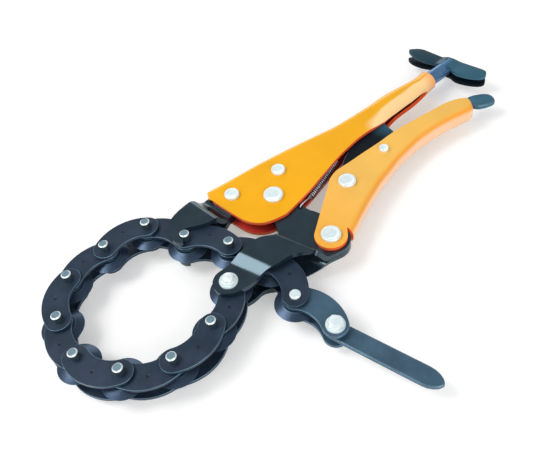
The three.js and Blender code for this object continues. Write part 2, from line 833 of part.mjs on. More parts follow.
// The wire runs from the hole of the moving jaw, over its upper plate and round the curls, and
// ends in the hole of the lower wall of the body.
function springRoute() {
  const from = new THREE.Vector3(springHole.x, springHole.y, 0);
  const to = new THREE.Vector3(springAnchor.x, springAnchor.y, 0);
  const axis = to.clone().sub(from).normalize();
  const side = new THREE.Vector3(-axis.y, axis.x, 0);
  const up = new THREE.Vector3(0, 0, 1);
  const at = (along, aside, level) => from.clone().addScaledVector(axis, along)
    .addScaledVector(side, aside).addScaledVector(up, level);
  const hook = tangTop + springHookHeight;
  const route = [
    at(0, 0, -tangTop / 2),
    at(0, 0, tangTop / 2),
    at(0, 0, tangTop),
    at(springWire, 0, hook - springWire / 2),
    at(springWire * 3, 0, hook),
    at(springLead / 2, 0, (hook + springCoilRadius) / 2),
    at(springLead - springPitch * 2, 0, springCoilRadius),
  ];
  const steps = springCurls * curlSteps;
  for (let i = 0; i <= steps; i += 1) {
    const angle = turn * i / curlSteps;
    route.push(at(
      springLead + springPitch * i / curlSteps,
      springCoilRadius * Math.sin(angle),
      springCoilRadius * Math.cos(angle),
    ));
  }
  const end = springLead + springPitch * springCurls;
  const reach = to.distanceTo(from);
  route.push(
    at(end + springPitch * 2, 0, springCoilRadius),
    at((end + reach) / 2 + springPitch, 0, 0),
    at(reach - springWire, 0, -wallLow + springWire * 2),
    at(reach, 0, -wallLow),
    at(reach, 0, -bodyHalf + springWire),
  );
  return route;
}

// One unbroken tube along a route, each ring of points turned as little as it can be
function wireAlong(route, radius) {
  const positions = [];
  const faces = [];
  let normal = new THREE.Vector3(0, 1, 0);
  route.forEach((point, i) => {
    const before = route[Math.max(i - 1, 0)];
    const after = route[Math.min(i + 1, route.length - 1)];
    const tangent = after.clone().sub(before).normalize();
    normal = normal.clone().addScaledVector(tangent, -normal.dot(tangent)).normalize();
    const binormal = tangent.clone().cross(normal);
    for (let j = 0; j < wireSides; j += 1) {
      const angle = turn * j / wireSides;
      const rim = point.clone().addScaledVector(normal, radius * Math.cos(angle))
        .addScaledVector(binormal, radius * Math.sin(angle));
      positions.push(rim.x, rim.y, rim.z);
    }
  });
  const last = (route.length - 1) * wireSides;
  for (let i = 0; i < last; i += wireSides) {
    for (let j = 0; j < wireSides; j += 1) {
      const k = (j + 1) % wireSides;
      faces.push(i + j, i + k, i + wireSides + j);
      faces.push(i + k, i + wireSides + k, i + wireSides + j);
    }
  }
  for (let j = 1; j < wireSides - 1; j += 1) {
    faces.push(0, j + 1, j);
    faces.push(last, last + j, last + j + 1);
  }
  const geometry = new THREE.BufferGeometry();
  geometry.setAttribute('position', new THREE.Float32BufferAttribute(positions, 3));
  geometry.setIndex(faces);
  return solidFrom(geometry);
}

// The least gap between stretches of the wire that lie at least half a curl apart
function leastGap(route, radius) {
  let least = Infinity;
  for (let i = 0; i < route.length; i += 1) {
    for (let j = i + curlSteps / 2; j < route.length; j += 1) {
      least = Math.min(least, route[i].distanceTo(route[j]) - radius * 2);
    }
  }
  return least;
}

function spring() {
  const route = springRoute();
  console.log(`spring: least gap to itself ${leastGap(route, springWire).toFixed(2)} mm`);
  return wireAlong(route, springWire);
}

const tool = new THREE.Group();
tool.add(chain());
tool.add(piece('strap', strap(), steel));
tool.add(piece('anchor_bolt', anchorBolt(), zinc));
tool.add(piece('anchor_nut', anchorNut(), zinc));
tool.add(piece('strap_bolt', strapBolt(), zinc));
tool.add(piece('body_shell', bodyShell(), amber));
tool.add(piece('lever', leverShell(), peach));
for (const [name, solid] of [['moving_jaw', movingJawPlate()], ['fixed_jaw', fixedJawPlate()]]) {
  tool.add(piece(`${name}_upper`, solid, steel));
  tool.add(piece(`${name}_lower`, flipped(solid), steel));
}
tool.add(piece('toggle_link', toggleLink(), steel));
tool.add(piece('release_lever', releaseLever(), teal));
tool.add(piece('adjusting_screw', adjustingScrew(), teal));
tool.add(piece('t_handle', crossHandle(), teal));
tool.add(piece('spring', spring(), wireSteel));
tool.add(piece('rivet_main', rivet(mainPivot, mainRivet), zinc));
tool.add(piece('rivet_front', rivet(frontRivetPlace, frontRivet), zinc));
tool.add(piece('rivet_upper', rivet(upperRivetPlace, upperRivet), zinc));
tool.add(piece('rivet_lever', rivet(leverPivot, leverRivet), zinc));
tool.add(piece('rivet_toggle', rivet(togglePivot, toggleRivet), zinc));
tool.add(piece('rivet_release', rivet(releasePivot, releaseRivet), zinc));

// The origin goes to the middle of the plane that the tool rests on
const bounds = new THREE.Box3().setFromObject(tool);
const middle = bounds.getCenter(new THREE.Vector3());
tool.position.set(-middle.x, -middle.y, -bounds.min.z);
tool.updateMatrixWorld(true);

export default tool;
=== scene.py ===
import json
import math

import bmesh
import bpy
from bpy.props import FloatProperty, FloatVectorProperty, IntProperty, PointerProperty
from mathutils import Matrix, Vector

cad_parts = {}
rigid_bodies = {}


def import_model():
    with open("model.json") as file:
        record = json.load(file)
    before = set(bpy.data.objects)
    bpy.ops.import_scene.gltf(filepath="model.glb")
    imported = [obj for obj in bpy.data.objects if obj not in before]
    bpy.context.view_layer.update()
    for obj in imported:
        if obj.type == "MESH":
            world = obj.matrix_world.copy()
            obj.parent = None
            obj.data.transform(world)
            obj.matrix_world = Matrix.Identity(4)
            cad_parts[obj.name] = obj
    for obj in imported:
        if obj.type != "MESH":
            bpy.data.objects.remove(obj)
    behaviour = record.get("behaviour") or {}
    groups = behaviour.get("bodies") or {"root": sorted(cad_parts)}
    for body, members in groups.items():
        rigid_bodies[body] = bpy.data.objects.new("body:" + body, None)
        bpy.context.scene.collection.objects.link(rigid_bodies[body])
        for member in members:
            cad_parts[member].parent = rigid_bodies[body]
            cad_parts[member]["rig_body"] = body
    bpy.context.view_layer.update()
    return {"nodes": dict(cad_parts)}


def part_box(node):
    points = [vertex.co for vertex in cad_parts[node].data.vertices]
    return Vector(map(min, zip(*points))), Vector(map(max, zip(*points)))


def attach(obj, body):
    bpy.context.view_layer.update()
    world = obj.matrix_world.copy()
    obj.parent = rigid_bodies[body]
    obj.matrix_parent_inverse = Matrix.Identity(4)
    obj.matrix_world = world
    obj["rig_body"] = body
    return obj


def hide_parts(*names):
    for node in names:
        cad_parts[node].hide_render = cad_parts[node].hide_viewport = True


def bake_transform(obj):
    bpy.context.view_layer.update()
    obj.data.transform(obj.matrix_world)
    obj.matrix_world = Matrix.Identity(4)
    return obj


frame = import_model()

bl_info = {
    "name": "Chain pipe cutter",
    "version": (1, 0, 0),
    "blender": (4, 5, 0),
    "location": "View3D > Sidebar > Pipe cutter",
    "description": "Builds the looks of a locking chain pipe cutter over its CAD solids",
    "category": "Object",
}

PIN_NAMES = "ihgfedcbajklmn"


def middle(node):
    """Middle of a CAD node's box."""
    low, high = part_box(node)
    return (low + high) / 2


MAIN_PIVOT = middle("rivet_main")
MAIN_TO_LEVER = middle("rivet_lever") - MAIN_PIVOT


def on_plane(node):
    """A CAD node's middle, moved onto the middle plane."""
    place = middle(node)
    place.z = MAIN_PIVOT.z
    return place


PINS = [on_plane(f"wheel_{name}") for name in PIN_NAMES[:-1]] + [on_plane("strap_bolt")]


def level(node, corner):
    """Height of a node's lower (0) or upper (1) face above the middle plane."""
    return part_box(node)[corner].z - MAIN_PIVOT.z


# Sizes and colours


def length(name, description, default):
    """A size in metres that a user can change."""
    return FloatProperty(
        name=name, description=description, default=default, min=0, unit="LENGTH", precision=5
    )


def colour(name, description, default):
    """A colour that a user can change."""
    return FloatVectorProperty(
        name=name, description=description, default=default, min=0, max=1, subtype="COLOR"
    )


class ChainSizes(bpy.types.PropertyGroup):
    """Sizes of the links, pins and cutting wheels."""

    end_radius: length("Link end", "Radius of a link round its pin", 0.0066)
    bulge: length("Link bulge", "Height of a link's outer edge over the pins", 0.011)
    waist: length("Link waist", "Depth of a link's inner edge under the pins", 0.003)
    pin_radius: length("Pin radius", "Radius of the chain pins", 0.0026)
    pin_chamfer: length("Pin chamfer", "Chamfer on the tips of the pins", 0.0006)
    tail_head: length("Tail pin head", "How far the heads of the short pins stand out", 0.0002)
    hub_radius: length("Hub radius", "Radius of the flat hub of a wheel", 0.0056)
    ring_radius: length("Ring radius", "Radius where the cutting bevel starts", 0.007)
    ring_half: length("Ring half", "Half thickness of a wheel at the start of its bevel", 0.0019)
    edge: length("Edge rounding", "Rounding on the edges of the links", 0.00024)
    mark: length("Punch mark", "Height of the punch mark over the pins", 0.0042)
    sides: IntProperty(name="Sides", description="Sides of a round piece", default=48, min=12)


class FastenerSizes(bpy.types.PropertyGroup):
    """Sizes of the rivets and bolts."""

    head_height: length("Rivet head", "Height of a rivet head", 0.00195)
    dish: length("Rivet dish", "Depth of the dish in a rivet head", 0.00035)
    nut_flat: length("Nut", "Half the width across the flats of the nuts", 0.0037)
    washer: length("Washer", "Radius of the washers", 0.0049)
    washer_height: length("Washer height", "Thickness of the washers", 0.001)
    dome: length("Bolt dome", "Height of the rounded tip of a bolt", 0.0011)


class SpringSizes(bpy.types.PropertyGroup):
    """Sizes of the return spring."""

    wire: length("Wire", "Radius of the spring wire", 0.00045)
    coil: length("Coil", "Radius of the coil at the middle of its wire", 0.00145)
    pitch: length("Pitch", "Distance between two curls", 0.00142)
    lead: length("Lead", "Length of the straight wire before the coil", 0.0114)
    curls: IntProperty(name="Curls", description="Number of curls", default=22, min=1)


class ScrewSizes(bpy.types.PropertyGroup):
    """Sizes of the adjusting screw."""

    radius: length("Radius", "Outer radius of the thread", 0.0038)
    depth: length("Thread depth", "Depth of the thread", 0.0006)
    pitch: length("Pitch", "Distance between two turns of the thread", 0.0015)
    thread: length("Thread", "Length of the threaded part", 0.04715)
    neck: length("Neck", "Radius of the neck behind the body", 0.0047)
    neck_length: length("Neck length", "Length of the neck", 0.014)
    slope: FloatProperty(
        name="Slope", description="How steeply the screw falls towards its handle",
        default=math.radians(7), subtype="ANGLE",
    )


class ShellSizes(bpy.types.PropertyGroup):
    """Sizes of the folded shells of the body and the lever."""

    body_length: length("Body length", "Length of the body along the screw", 0.162)
    body_front: length("Body front", "Reach of the body ahead of the main pivot", 0.0237)
    rise: length("Body rise", "Height of the body's back over the pivot at its front", 0.035)
    fall: length("Body fall", "Depth of the body's feet under the pivot", 0.0147)
    foot: length("Foot", "Width of the feet that curl round the screw", 0.0092)
    half: length("Half width", "Half the width over the walls", 0.00525)
    bulge: length("Bulge", "How far the tube stands out past the walls", 0.00115)
    fold: length("Fold", "Rounding of the folded back", 0.0038)
    tube_fold: length("Tube fold", "Rounding of the back where it is a tube", 0.0058)
    sheet: length("Sheet", "Thickness of the sheet", 0.002)
    lever_length: length("Lever length", "Length of the lever from its pivot", 0.1342)
    lever_start: length("Lever start", "Where the lever's fold starts", 0.0094)
    tail_round: length("Lever tail", "Rounding of the rear end of the lever", 0.006)
    lever_fold: length("Lever fold", "Rounding of the folded back of the lever", 0.0042)
    ear_radius: length("Lever ear", "Radius of the lever round its pivot", 0.0088)
    rounding: length("Rim rounding", "Rounding of the rims of the shells", 0.00045)


class PlateSizes(bpy.types.PropertyGroup):
    """Sizes of the jaws, the strap and the inner levers."""

    sheet: length("Jaw sheet", "Thickness of the jaw plates", 0.0028)
    tang: length("Tang level", "Height of the jaws' tangs over the middle plane", 0.00295)
    rounding: length("Rim rounding", "Rounding of the rims of the jaws", 0.0004)
    pivot_round: length("Pivot end", "Radius of a moving jaw round the main pivot", 0.0095)
    anchor_round: length("Anchor ear", "Radius of a moving jaw round the anchor bolt", 0.0082)
    lever_round: length("Lever end", "Radius of a moving jaw round the lever's pivot", 0.0104)
    rivet_round: length("Rivet end", "Radius of a fixed jaw round its upper rivet", 0.0065)
    bolt_stand: length("Bolt stand", "How far the anchor bolt stands out past its ear", 0.00445)
    hook: length("Hook", "Radius of the slot that holds the chain's pin", 0.003)
    cheek: length("Cheek", "Height that the outline of a fixed jaw is counted in", 0.035)
    strap_half: length("Strap half", "Half the width of the strap", 0.0051)
    strap_length: length("Strap length", "Length of the strap from its bolt", 0.0552)
    toggle_length: length("Toggle length", "Length of the toggle link", 0.0556)
    toggle_rise: length("Toggle rise", "Height of the toggle link's nose over its pivot", 0.0226)
    toggle_round: length("Toggle end", "Radius of the toggle link round its pivot", 0.0075)
    toggle_nose: length("Toggle nose", "Radius of the toggle link's nose", 0.003)


class FinishColours(bpy.types.PropertyGroup):
    """Colours of the paints and metals."""

    amber: colour("Amber paint", "Paint on the faces of the body", (0.88, 0.415, 0.008))
    # Painted reflection: the peach that the amber paint shows where the body's face leans down, as
    # if it caught a lamp
    flank: colour("Amber flank", "Paint where the body rolls down to the slot", (1.0, 0.66, 0.31))
    tip: colour("Amber tip", "Paint at the rear end of the body", (0.98, 0.38, 0.10))
    # Painted reflection: the lever carries the same paint as the body; this paler, peachier tone
    # stands for the white light that its faces reflect
    orange: colour("Orange paint", "Paint on the faces of the lever", (0.88, 0.50, 0.105))
    ear: colour("Lever ear", "Paint round the pivot of the lever", (0.90, 0.43, 0.06))
    # Painted shade: the deeper, redder tone where the lever's fold turns away from the light
    spine: colour("Lever fold", "Paint along the fold of the lever", (0.90, 0.36, 0.045))
    # Painted reflection: the pale salmon where the lever's folded spine faces fully down
    under: colour("Lever spine", "Paint on the folded spine of the lever", (1.0, 0.60, 0.36))
    # Painted shade: the amber paint made redder on the cut edges, which turn away from the light
    edge: colour("Paint on edges", "Deeper paint on the cut edges", (0.95, 0.125, 0.03))
    # Painted shade: the paint made dark red inside the shells, where shade falls
    inside: colour("Paint inside", "Paint inside the shells", (0.62, 0.045, 0.035))
    link: colour("Link steel", "Links of the chain", (0.018, 0.032, 0.056))
    jaw: colour("Jaw steel", "Jaws and toggle link", (0.010, 0.022, 0.034))
    strap: colour("Strap steel", "Pull strap", (0.046, 0.095, 0.145))
    # Painted highlight: paler steel for the rounded rims, standing for the light that they catch;
    # it also draws the painted highlight lines on the wheels
    worn: colour("Worn steel", "Worn rims of the blackened steel", (0.060, 0.115, 0.16))
    wheel: colour("Wheel steel", "Cutting wheels", (0.028, 0.048, 0.090))
    zinc: colour("Zinc", "Rivets, nuts and bolts", (0.80, 0.88, 0.88))
    pin: colour("Pin tips", "Flat tips of the pins", (0.15, 0.25, 0.31))
    teal: colour("Teal steel", "Screw handle and release lever", (0.035, 0.126, 0.188))
    blue: colour("Blue steel", "Adjusting screw", (0.09, 0.20, 0.36))
    # Painted highlight: the wire's pale tone, shown on top of the turns
    wire: colour("Spring wire", "Return spring", (0.80, 0.86, 0.90))


PROPERTY_GROUPS = {
    "cutter_chain": ChainSizes,
    "cutter_fasteners": FastenerSizes,
    "cutter_spring": SpringSizes,
    "cutter_screw": ScrewSizes,
    "cutter_shells": ShellSizes,
    "cutter_plates": PlateSizes,
    "cutter_colours": FinishColours,
}


# Node trees written as expressions


class Value:
    """A socket that takes part in expressions."""

    def __init__(self, graph, socket):
        self.graph = graph
        self.socket = socket

    def out(self, name):
        return Value(self.graph, self.socket.node.outputs[name])

    def math(self, operation, *terms, clamp=False):
        settings = {"operation": operation, "use_clamp": clamp}
        return self.graph.node("ShaderNodeMath", settings, dict(enumerate(terms)))

    def __add__(self, other):
        return self.math("ADD", self, other)

    def __sub__(self, other):
        return self.math("SUBTRACT", self, other)

    def __rsub__(self, other):
        return self.math("SUBTRACT", other, self)

    def __mul__(self, other):
        return self.math("MULTIPLY", self, other)

    def __truediv__(self, other):
        return self.math("DIVIDE", self, other)

    def __rtruediv__(self, other):
        return self.math("DIVIDE", other, self)

    def __mod__(self, other):
        return self.math("FLOORED_MODULO", self, other)

    def __gt__(self, other):
        return self.math("GREATER_THAN", self, other)

    def __lt__(self, other):
        return self.math("LESS_THAN", self, other)

    __radd__ = __add__
    __rmul__ = __mul__

    def floor(self):
        return self.math("FLOOR", self)

    def sin(self):
        return self.math("SINE", self)

    def cos(self):
        return self.math("COSINE", self)

    def size(self):
        """The value without its sign."""
        return self.math("ABSOLUTE", self)

    def clamp(self):
        """The value kept between 0 and 1."""
        return self.math("ADD", self, 0, clamp=True)

    def between(self, low, high):
        """0 at low, 1 at high, and straight between them."""
        return ((self - low) / (high - low)).clamp()


class Graph:
    """A node tree whose nodes are made one by one."""

    def __init__(self, tree):
        self.tree = tree

    def node(self, kind, settings=None, inputs=None, output=0):
        made = self.tree.nodes.new(kind)
        for key, value in (settings or {}).items():
            setattr(made, key, value)
        for key, value in (inputs or {}).items():
            if isinstance(value, Value):
                self.tree.links.new(value.socket, made.inputs[key])
            else:
                made.inputs[key].default_value = value
        return Value(self, made.outputs[output] if made.outputs else None)

    def mix(self, factor, first, second):
        first, second = [(*c, 1) if isinstance(c, tuple) else c for c in (first, second)]
        settings = {"data_type": "RGBA"}
        return self.node("ShaderNodeMix", settings, {0: factor, 6: first, 7: second}, 2)

    def vector(self, x, y, z):
        return self.node("ShaderNodeCombineXYZ", None, {0: x, 1: y, 2: z})

    def split(self, vector):
        """The three values of a vector."""
        parts = self.node("ShaderNodeSeparateXYZ", None, {0: vector})
        return parts.out("X"), parts.out("Y"), parts.out("Z")

    def noise(self, where, scale, detail=2.0, roughness=0.5):
        inputs = {"Vector": where, "Scale": scale, "Detail": detail, "Roughness": roughness}
        return self.node("ShaderNodeTexNoise", None, inputs)

    def polar(self, reach, angle, height):
        """The point at a reach, an angle and a height round Z."""
        return self.vector(reach * angle.cos(), reach * angle.sin(), height)

    def join(self, *parts):
        """All the parts as one geometry."""
        whole = self.node("GeometryNodeJoinGeometry")
        for part in parts:
            self.tree.links.new(part.socket, whole.socket.node.inputs[0])
        return whole

    def weld(self, geometry):
        """A geometry whose points that lie on each other are one."""
        inputs = {"Geometry": geometry, "Distance": 0.000001}
        return self.node("GeometryNodeMergeByDistance", None, inputs)

    def move(self, geometry, **changes):
        """A geometry with a Translation, a Rotation or both."""
        return self.node("GeometryNodeTransform", None, {"Geometry": geometry, **changes})

    def store(self, geometry, name, value, **settings):
        """A geometry that keeps a value on its points or faces under a name."""
        settings = {"data_type": "FLOAT_VECTOR", **settings}
        inputs = {"Geometry": geometry, "Name": name, "Value": value}
        return self.node("GeometryNodeStoreNamedAttribute", settings, inputs)


# Finishes


def surface(name, build, **constants):
    """A material whose build function gives its varying inputs from the object's place."""
    material = bpy.data.materials.new(name)
    material.use_nodes = True
    material.node_tree.nodes.clear()
    graph = Graph(material.node_tree)
    where = graph.node("ShaderNodeTexCoord").out("Object")
    inputs = dict(constants)
    height = build(graph, where, inputs)
    if height is not None:
        bump, strength = height
        inputs["Normal"] = graph.node(
            "ShaderNodeBump", None, {"Strength": strength, "Distance": 0.0002, "Height": bump}
        )
    shader = graph.node("ShaderNodeBsdfPrincipled", None, inputs)
    graph.node("ShaderNodeOutputMaterial", None, {"Surface": shader})
    return material


def facing(graph):
    """The way a surface faces on its own piece, as three values."""
    return graph.split(graph.node("ShaderNodeTexCoord").out("Normal"))


def named(graph, name):
    """A vector that a geometry tree kept on the piece."""
    return graph.node("ShaderNodeAttribute", {"attribute_name": name}).out("Vector")


def shaded(tone, share, lift=0):
    """A colour times a share, with a lift on top."""
    return tuple(c * share + lift for c in tone)


def blotches(graph, where):
    """Soft dark and pale clouds of blackened steel."""
    return graph.noise(where, 95.0, 4.0, 0.6)


def patchy(graph, where, blotch, base, rim=0.0):
    """Blackened steel's colour: paler in its blotches, in fine specks and on worn rims."""
    speck = graph.noise(where, 1500.0, 2.0)
    # The specks are wear; the rim share adds a painted highlight
    worn = speck.between(0.66, 0.80) * 0.6 + rim
    patches = (blotch.between(0.35, 0.75) * 0.5 + worn).clamp()
    return graph.mix(patches, base, shaded(base, 1.9, 0.006))


def enamel(name, face, flank, under=None, lean=(0.015, 0.13), end=None):
    """Thick glossy paint, with other tones where the face leans down and at one end."""

    def build(graph, where, inputs):
        _, across, _ = facing(graph)
        cloud = graph.noise(where, 38.0, 3.0)
        grain = graph.noise(where, 160.0, 2.0)
        plain = graph.mix(cloud.between(0.35, 0.65), shaded(face, 0.93), face)
        # Painted light: faces that lean towards -Y get the flank tone, a painted reflection on the
        # body and a painted shade on the lever's fold
        turned_down = (cloud - 0.5) * 0.04 - across
        paint = graph.mix(turned_down.between(*lean), plain, flank)
        if end is not None:
            tone, start, stop = end
            along, _, _ = graph.split(where)
            run = (along - MAIN_PIVOT.x + (cloud - 0.5) * 0.01).between(start, stop)
            paint = graph.mix(run, paint, tone)
        # Painted reflection: a pale tone where the face turns fully down, on the lever's spine
        if under is not None:
            paint = graph.mix(turned_down.between(0.72, 0.97), paint, under)
        inputs["Base Color"] = paint
        inputs["Roughness"] = grain * 0.10 + 0.17
        return graph.noise(where, 620.0, 2.0), 0.03

    return surface(name, build, **{
        "Coat Weight": 0.15, "Coat Roughness": 0.06, "Specular IOR Level": 0.4,
        "Specular Tint": (*[min(1, c + 0.1) for c in face], 1),
    })


def blackened(name, base, rim=0.0, rough=0.36, metal=0.35, gloss=0.35, tint=(1, 1, 1)):
    """Blackened sheet steel: satin, slightly blotched, with fine scratches and specks."""

    def build(graph, where, inputs):
        blotch = blotches(graph, where)
        inputs["Base Color"] = patchy(graph, where, blotch, base, rim)
        inputs["Roughness"] = blotch * 0.16 + (rough - 0.08)
        return graph.noise(where, 900.0, 3.0), 0.08

    return surface(name, build, Metallic=metal, **{
        "Specular IOR Level": gloss, "Specular Tint": (*tint, 1),
    })


def painted_shade_along(name, dark, end, axis, start, stop, gloss=0.35, metal=0.35):
    """Blackened steel that turns paler along one axis."""

    def build(graph, where, inputs):
        spot = graph.split(where)["XYZ".index(axis)]
        blotch = blotches(graph, where)
        run = (spot + (blotch - 0.5) * 0.003).between(start, stop)
        inputs["Base Color"] = graph.mix(run, dark, end)
        inputs["Roughness"] = blotch * 0.16 + 0.28

    return surface(name, build, Metallic=metal, **{"Specular IOR Level": gloss})


def punched(name, base):
    """Link steel with a small punch mark beside the middle of each link."""

    def build(graph, where, inputs):
        settings, inner = {"operation": "LENGTH"}, {0: named(graph, "local")}
        away = graph.node("ShaderNodeVectorMath", settings, inner, "Value")
        blotch = blotches(graph, where)
        plain = patchy(graph, where, blotch, base)
        inputs["Base Color"] = graph.mix(away.between(0.0011, 0.0006), plain, shaded(base, 0.4))
        inputs["Roughness"] = blotch * 0.16 + 0.28
        pit = away.between(0.0004, 0.0010)
        return pit + graph.noise(where, 900.0, 3.0) * 0.16, 0.5

    return surface(name, build, Metallic=0.35, **{"Specular IOR Level": 0.35})


def turned_steel(name, base, line, radii):
    """Turned steel with fine rings, and paler lines at the radii of its edges."""

    def build(graph, where, inputs):
        reach, _, _ = graph.split(named(graph, "turned"))
        rings = (reach * 26000.0).sin() * 0.5 + 0.5
        blotch = graph.noise(where, 240.0, 3.0)
        lines = blotch * 0.25
        # Painted highlight: a paler line at each edge radius, where the edges catch the light
        for radius in radii:
            inner, outer = radius - 0.0004, radius + 0.0004
            lines = lines + reach.between(inner, radius) * reach.between(outer, radius)
        inputs["Base Color"] = graph.mix(lines.clamp(), base, line)
        inputs["Roughness"] = blotch * 0.16 + 0.22
        return rings, 0.05

    return surface(name, build, Metallic=0.55, **{"Specular IOR Level": 0.4})


def cut_pin(name, tip, rim, side):
    """A cropped pin: dark sides, a bright chamfer and a flat grey tip."""

    def build(graph, where, inputs):
        _, _, rise = facing(graph)
        steep = rise.size()
        mottle = graph.noise(where, 700.0, 2.0)
        flat = graph.mix(mottle, shaded(tip, 0.8), shaded(tip, 1.3))
        # Painted shade on the steep sides, a painted highlight on the chamfer
        shade_and_highlight = graph.mix(steep.between(0.25, 0.55), side, rim)
        inputs["Base Color"] = graph.mix(steep.between(0.90, 0.98), shade_and_highlight, flat)
        inputs["Roughness"] = mottle * 0.15 + 0.30
        return mottle, 0.08

    return surface(name, build, Metallic=0.4)


def coiled(name, pale):
    """Spring wire, pale on top and dark between the turns."""

    def build(graph, where, inputs):
        _, _, rise = facing(graph)
        # Painted highlight where the wire faces up, painted shade on its sides between the turns
        inputs["Base Color"] = graph.mix(rise.between(0.15, 0.75), shaded(pale, 0.06), pale)
        inputs["Roughness"] = graph.noise(where, 300.0) * 0.1 + 0.22

    return surface(name, build, Metallic=0.5)


def plated(name, base):
    """Bright zinc plate: pale on its rims, mottled on its flat faces."""

    def build(graph, where, inputs):
        mottle = graph.noise(where, 420.0, 3.0, 0.65)
        _, _, rise = facing(graph)
        dull = tuple(c * k for c, k in zip(base, (0.74, 0.86, 0.92)))
        face = graph.mix(mottle.between(0.3, 0.7), dull, base)
        inputs["Base Color"] = graph.mix(rise.between(0.97, 0.995), base, face)
        inputs["Roughness"] = mottle * 0.14 + 0.28
        return mottle, 0.03

    return surface(name, build, Metallic=0.25)


def finishes(context):
    """All finishes by name, made once."""
    made = bpy.data.materials.get("amber enamel")
    if made is None:
        colours = context.scene.cutter_colours
        c = {key: tuple(getattr(colours, key)) for key in FinishColours.__annotations__}
        s = context.scene.cutter_chain
        cutting_edge = 0.0112
        # The body's paint, with the peach flank as a painted reflection where its faces lean down
        enamel("amber enamel", c["amber"], c["flank"], end=(c["tip"], 0.127, 0.139))
        # The lever's paint: a paler face tone as painted reflection, its fold deeper as painted
        # shade, its spine pale salmon as painted reflection, and a deeper tone round its pivot
        enamel(
            "orange enamel", c["orange"], c["spine"], c["under"], (0.10, 0.6),
            (c["ear"], 0.035, -0.01),
        )
        # Painted shade: redder copies of the paint for the cut edges and the inside of the shells
        enamel("edge enamel", c["edge"], c["edge"])
        enamel("inner enamel", c["inside"], c["inside"])
        punched("link steel", c["link"])
        blackened("jaw steel", c["jaw"], rough=0.16, gloss=1.0, tint=(0.72, 0.92, 1))
        # Painted shade: the toggle link dark where it lies between the shells and teal at its bare
        # end; the cross handle's upper wing darker towards its left end, which turns away from the
        # light; and dark steel for the lower wing, in the shade of the upper one
        dark, shade = shaded(c["jaw"], 0.35), shaded(c["teal"], 0.42)
        wing = MAIN_PIVOT.y - 0.0095
        root = MAIN_PIVOT.x + 0.074
        painted_shade_along("toggle steel", dark, c["teal"], "X", root, root + 0.016, 0.08, 0.0)
        painted_shade_along("handle steel", shade, c["teal"], "Y", wing + 0.005, wing - 0.001)
        painted_shade_along("dark steel", dark, dark, "X", 0, 1, 0.06, 0.0)
        blackened("strap steel", c["strap"])
        # Painted highlight: the steel of the rounded rims, paler and lifted further by a rim share
        # of 0.3
        blackened("worn steel", c["worn"], 0.3, 0.28, 0.3)
        blackened("teal steel", c["teal"], rough=0.42)
        blackened("blue steel", c["blue"], rough=0.26, metal=0.7)
        coiled("wire steel", c["wire"])
        # Edge radii of the wheels, where the painted highlight lines go
        edges = (s.hub_radius, s.ring_radius, cutting_edge)
        turned_steel("wheel steel", c["wheel"], c["worn"], edges)
        # Pin tips: the zinc tone as a painted highlight on the chamfers and a darkened copy of the
        # tip as painted shade on the sides
        cut_pin("pin steel", c["pin"], c["zinc"], shaded(c["pin"], 0.25))
        plated("zinc plate", c["zinc"])
    return {material.name.split()[0]: material for material in bpy.data.materials}


# Shapes that repeat, as Geometry Nodes


def tree(name, *sockets):
    """Makes a function that builds a geometry tree one that builds it only once."""

    def wrap(build):
        def found():
            if name not in bpy.data.node_groups:
                made = bpy.data.node_groups.new(name, "GeometryNodeTree")
                face = made.interface
                face.new_socket("Geometry", in_out="INPUT", socket_type="NodeSocketGeometry")
                for label, kind in (*sockets, ("Finish", "Material")):
                    face.new_socket(label, in_out="INPUT", socket_type=f"NodeSocket{kind}")
                face.new_socket("Geometry", in_out="OUTPUT", socket_type="NodeSocketGeometry")
                graph = Graph(made)
                build(graph, graph.node("NodeGroupInput").out)
            return bpy.data.node_groups[name]

        found.__doc__ = build.__doc__
        return found

    return wrap


def end_tree(graph, geometry, given, selection=True):
    """Makes all instances real, gives the selected faces their finish and ends the tree."""
    whole = graph.node("GeometryNodeRealizeInstances", None, {"Geometry": geometry})
    painted = graph.node("GeometryNodeSetMaterial", None, {
        "Geometry": whole, "Material": given("Finish"), "Selection": selection,
    })
    graph.node("NodeGroupOutput", None, {0: painted})


def round_grid(graph, given, rows):
    """A grid to be rolled round Z, with the row and the share of a turn of each point."""
    columns = given("Sides") + 1
    grid = graph.node("GeometryNodeMeshGrid", None, {"Vertices X": rows, "Vertices Y": columns})
    index = graph.node("GeometryNodeInputIndex")
    return grid, (index / columns).floor(), (index % columns) / given("Sides")


def rolled(graph, given, grid, position):
    """The grid at its new positions, closed, tilted and put in its place."""
    placed = graph.node("GeometryNodeSetPosition", None, {"Geometry": grid, "Position": position})
    moved = graph.move(graph.weld(placed), Translation=given("Place"), Rotation=given("Tilt"))
    end_tree(graph, moved, given)


@tree("Turned piece", ("Sides", "Int"), ("Tilt", "Rotation"), ("Place", "Vector"))
def turned_tree(graph, given):
    """A profile of radii and heights, turned about Z, tilted and put in its place."""
    profile = given("Geometry")
    rows = graph.node("GeometryNodeAttributeDomainSize", None, {0: profile}).out("Point Count")
    grid, row, turn = round_grid(graph, given, rows)
    point = graph.node("GeometryNodeSampleIndex", {"data_type": "FLOAT_VECTOR"}, {
        "Geometry": profile, "Value": graph.node("GeometryNodeInputPosition"), "Index": row,
    })
    reach, _, height = graph.split(point)
    angle = turn * (2 * math.pi)
    kept = graph.store(grid, "turned", graph.vector(reach, angle, height))
    rolled(graph, given, kept, graph.polar(reach, angle, height))


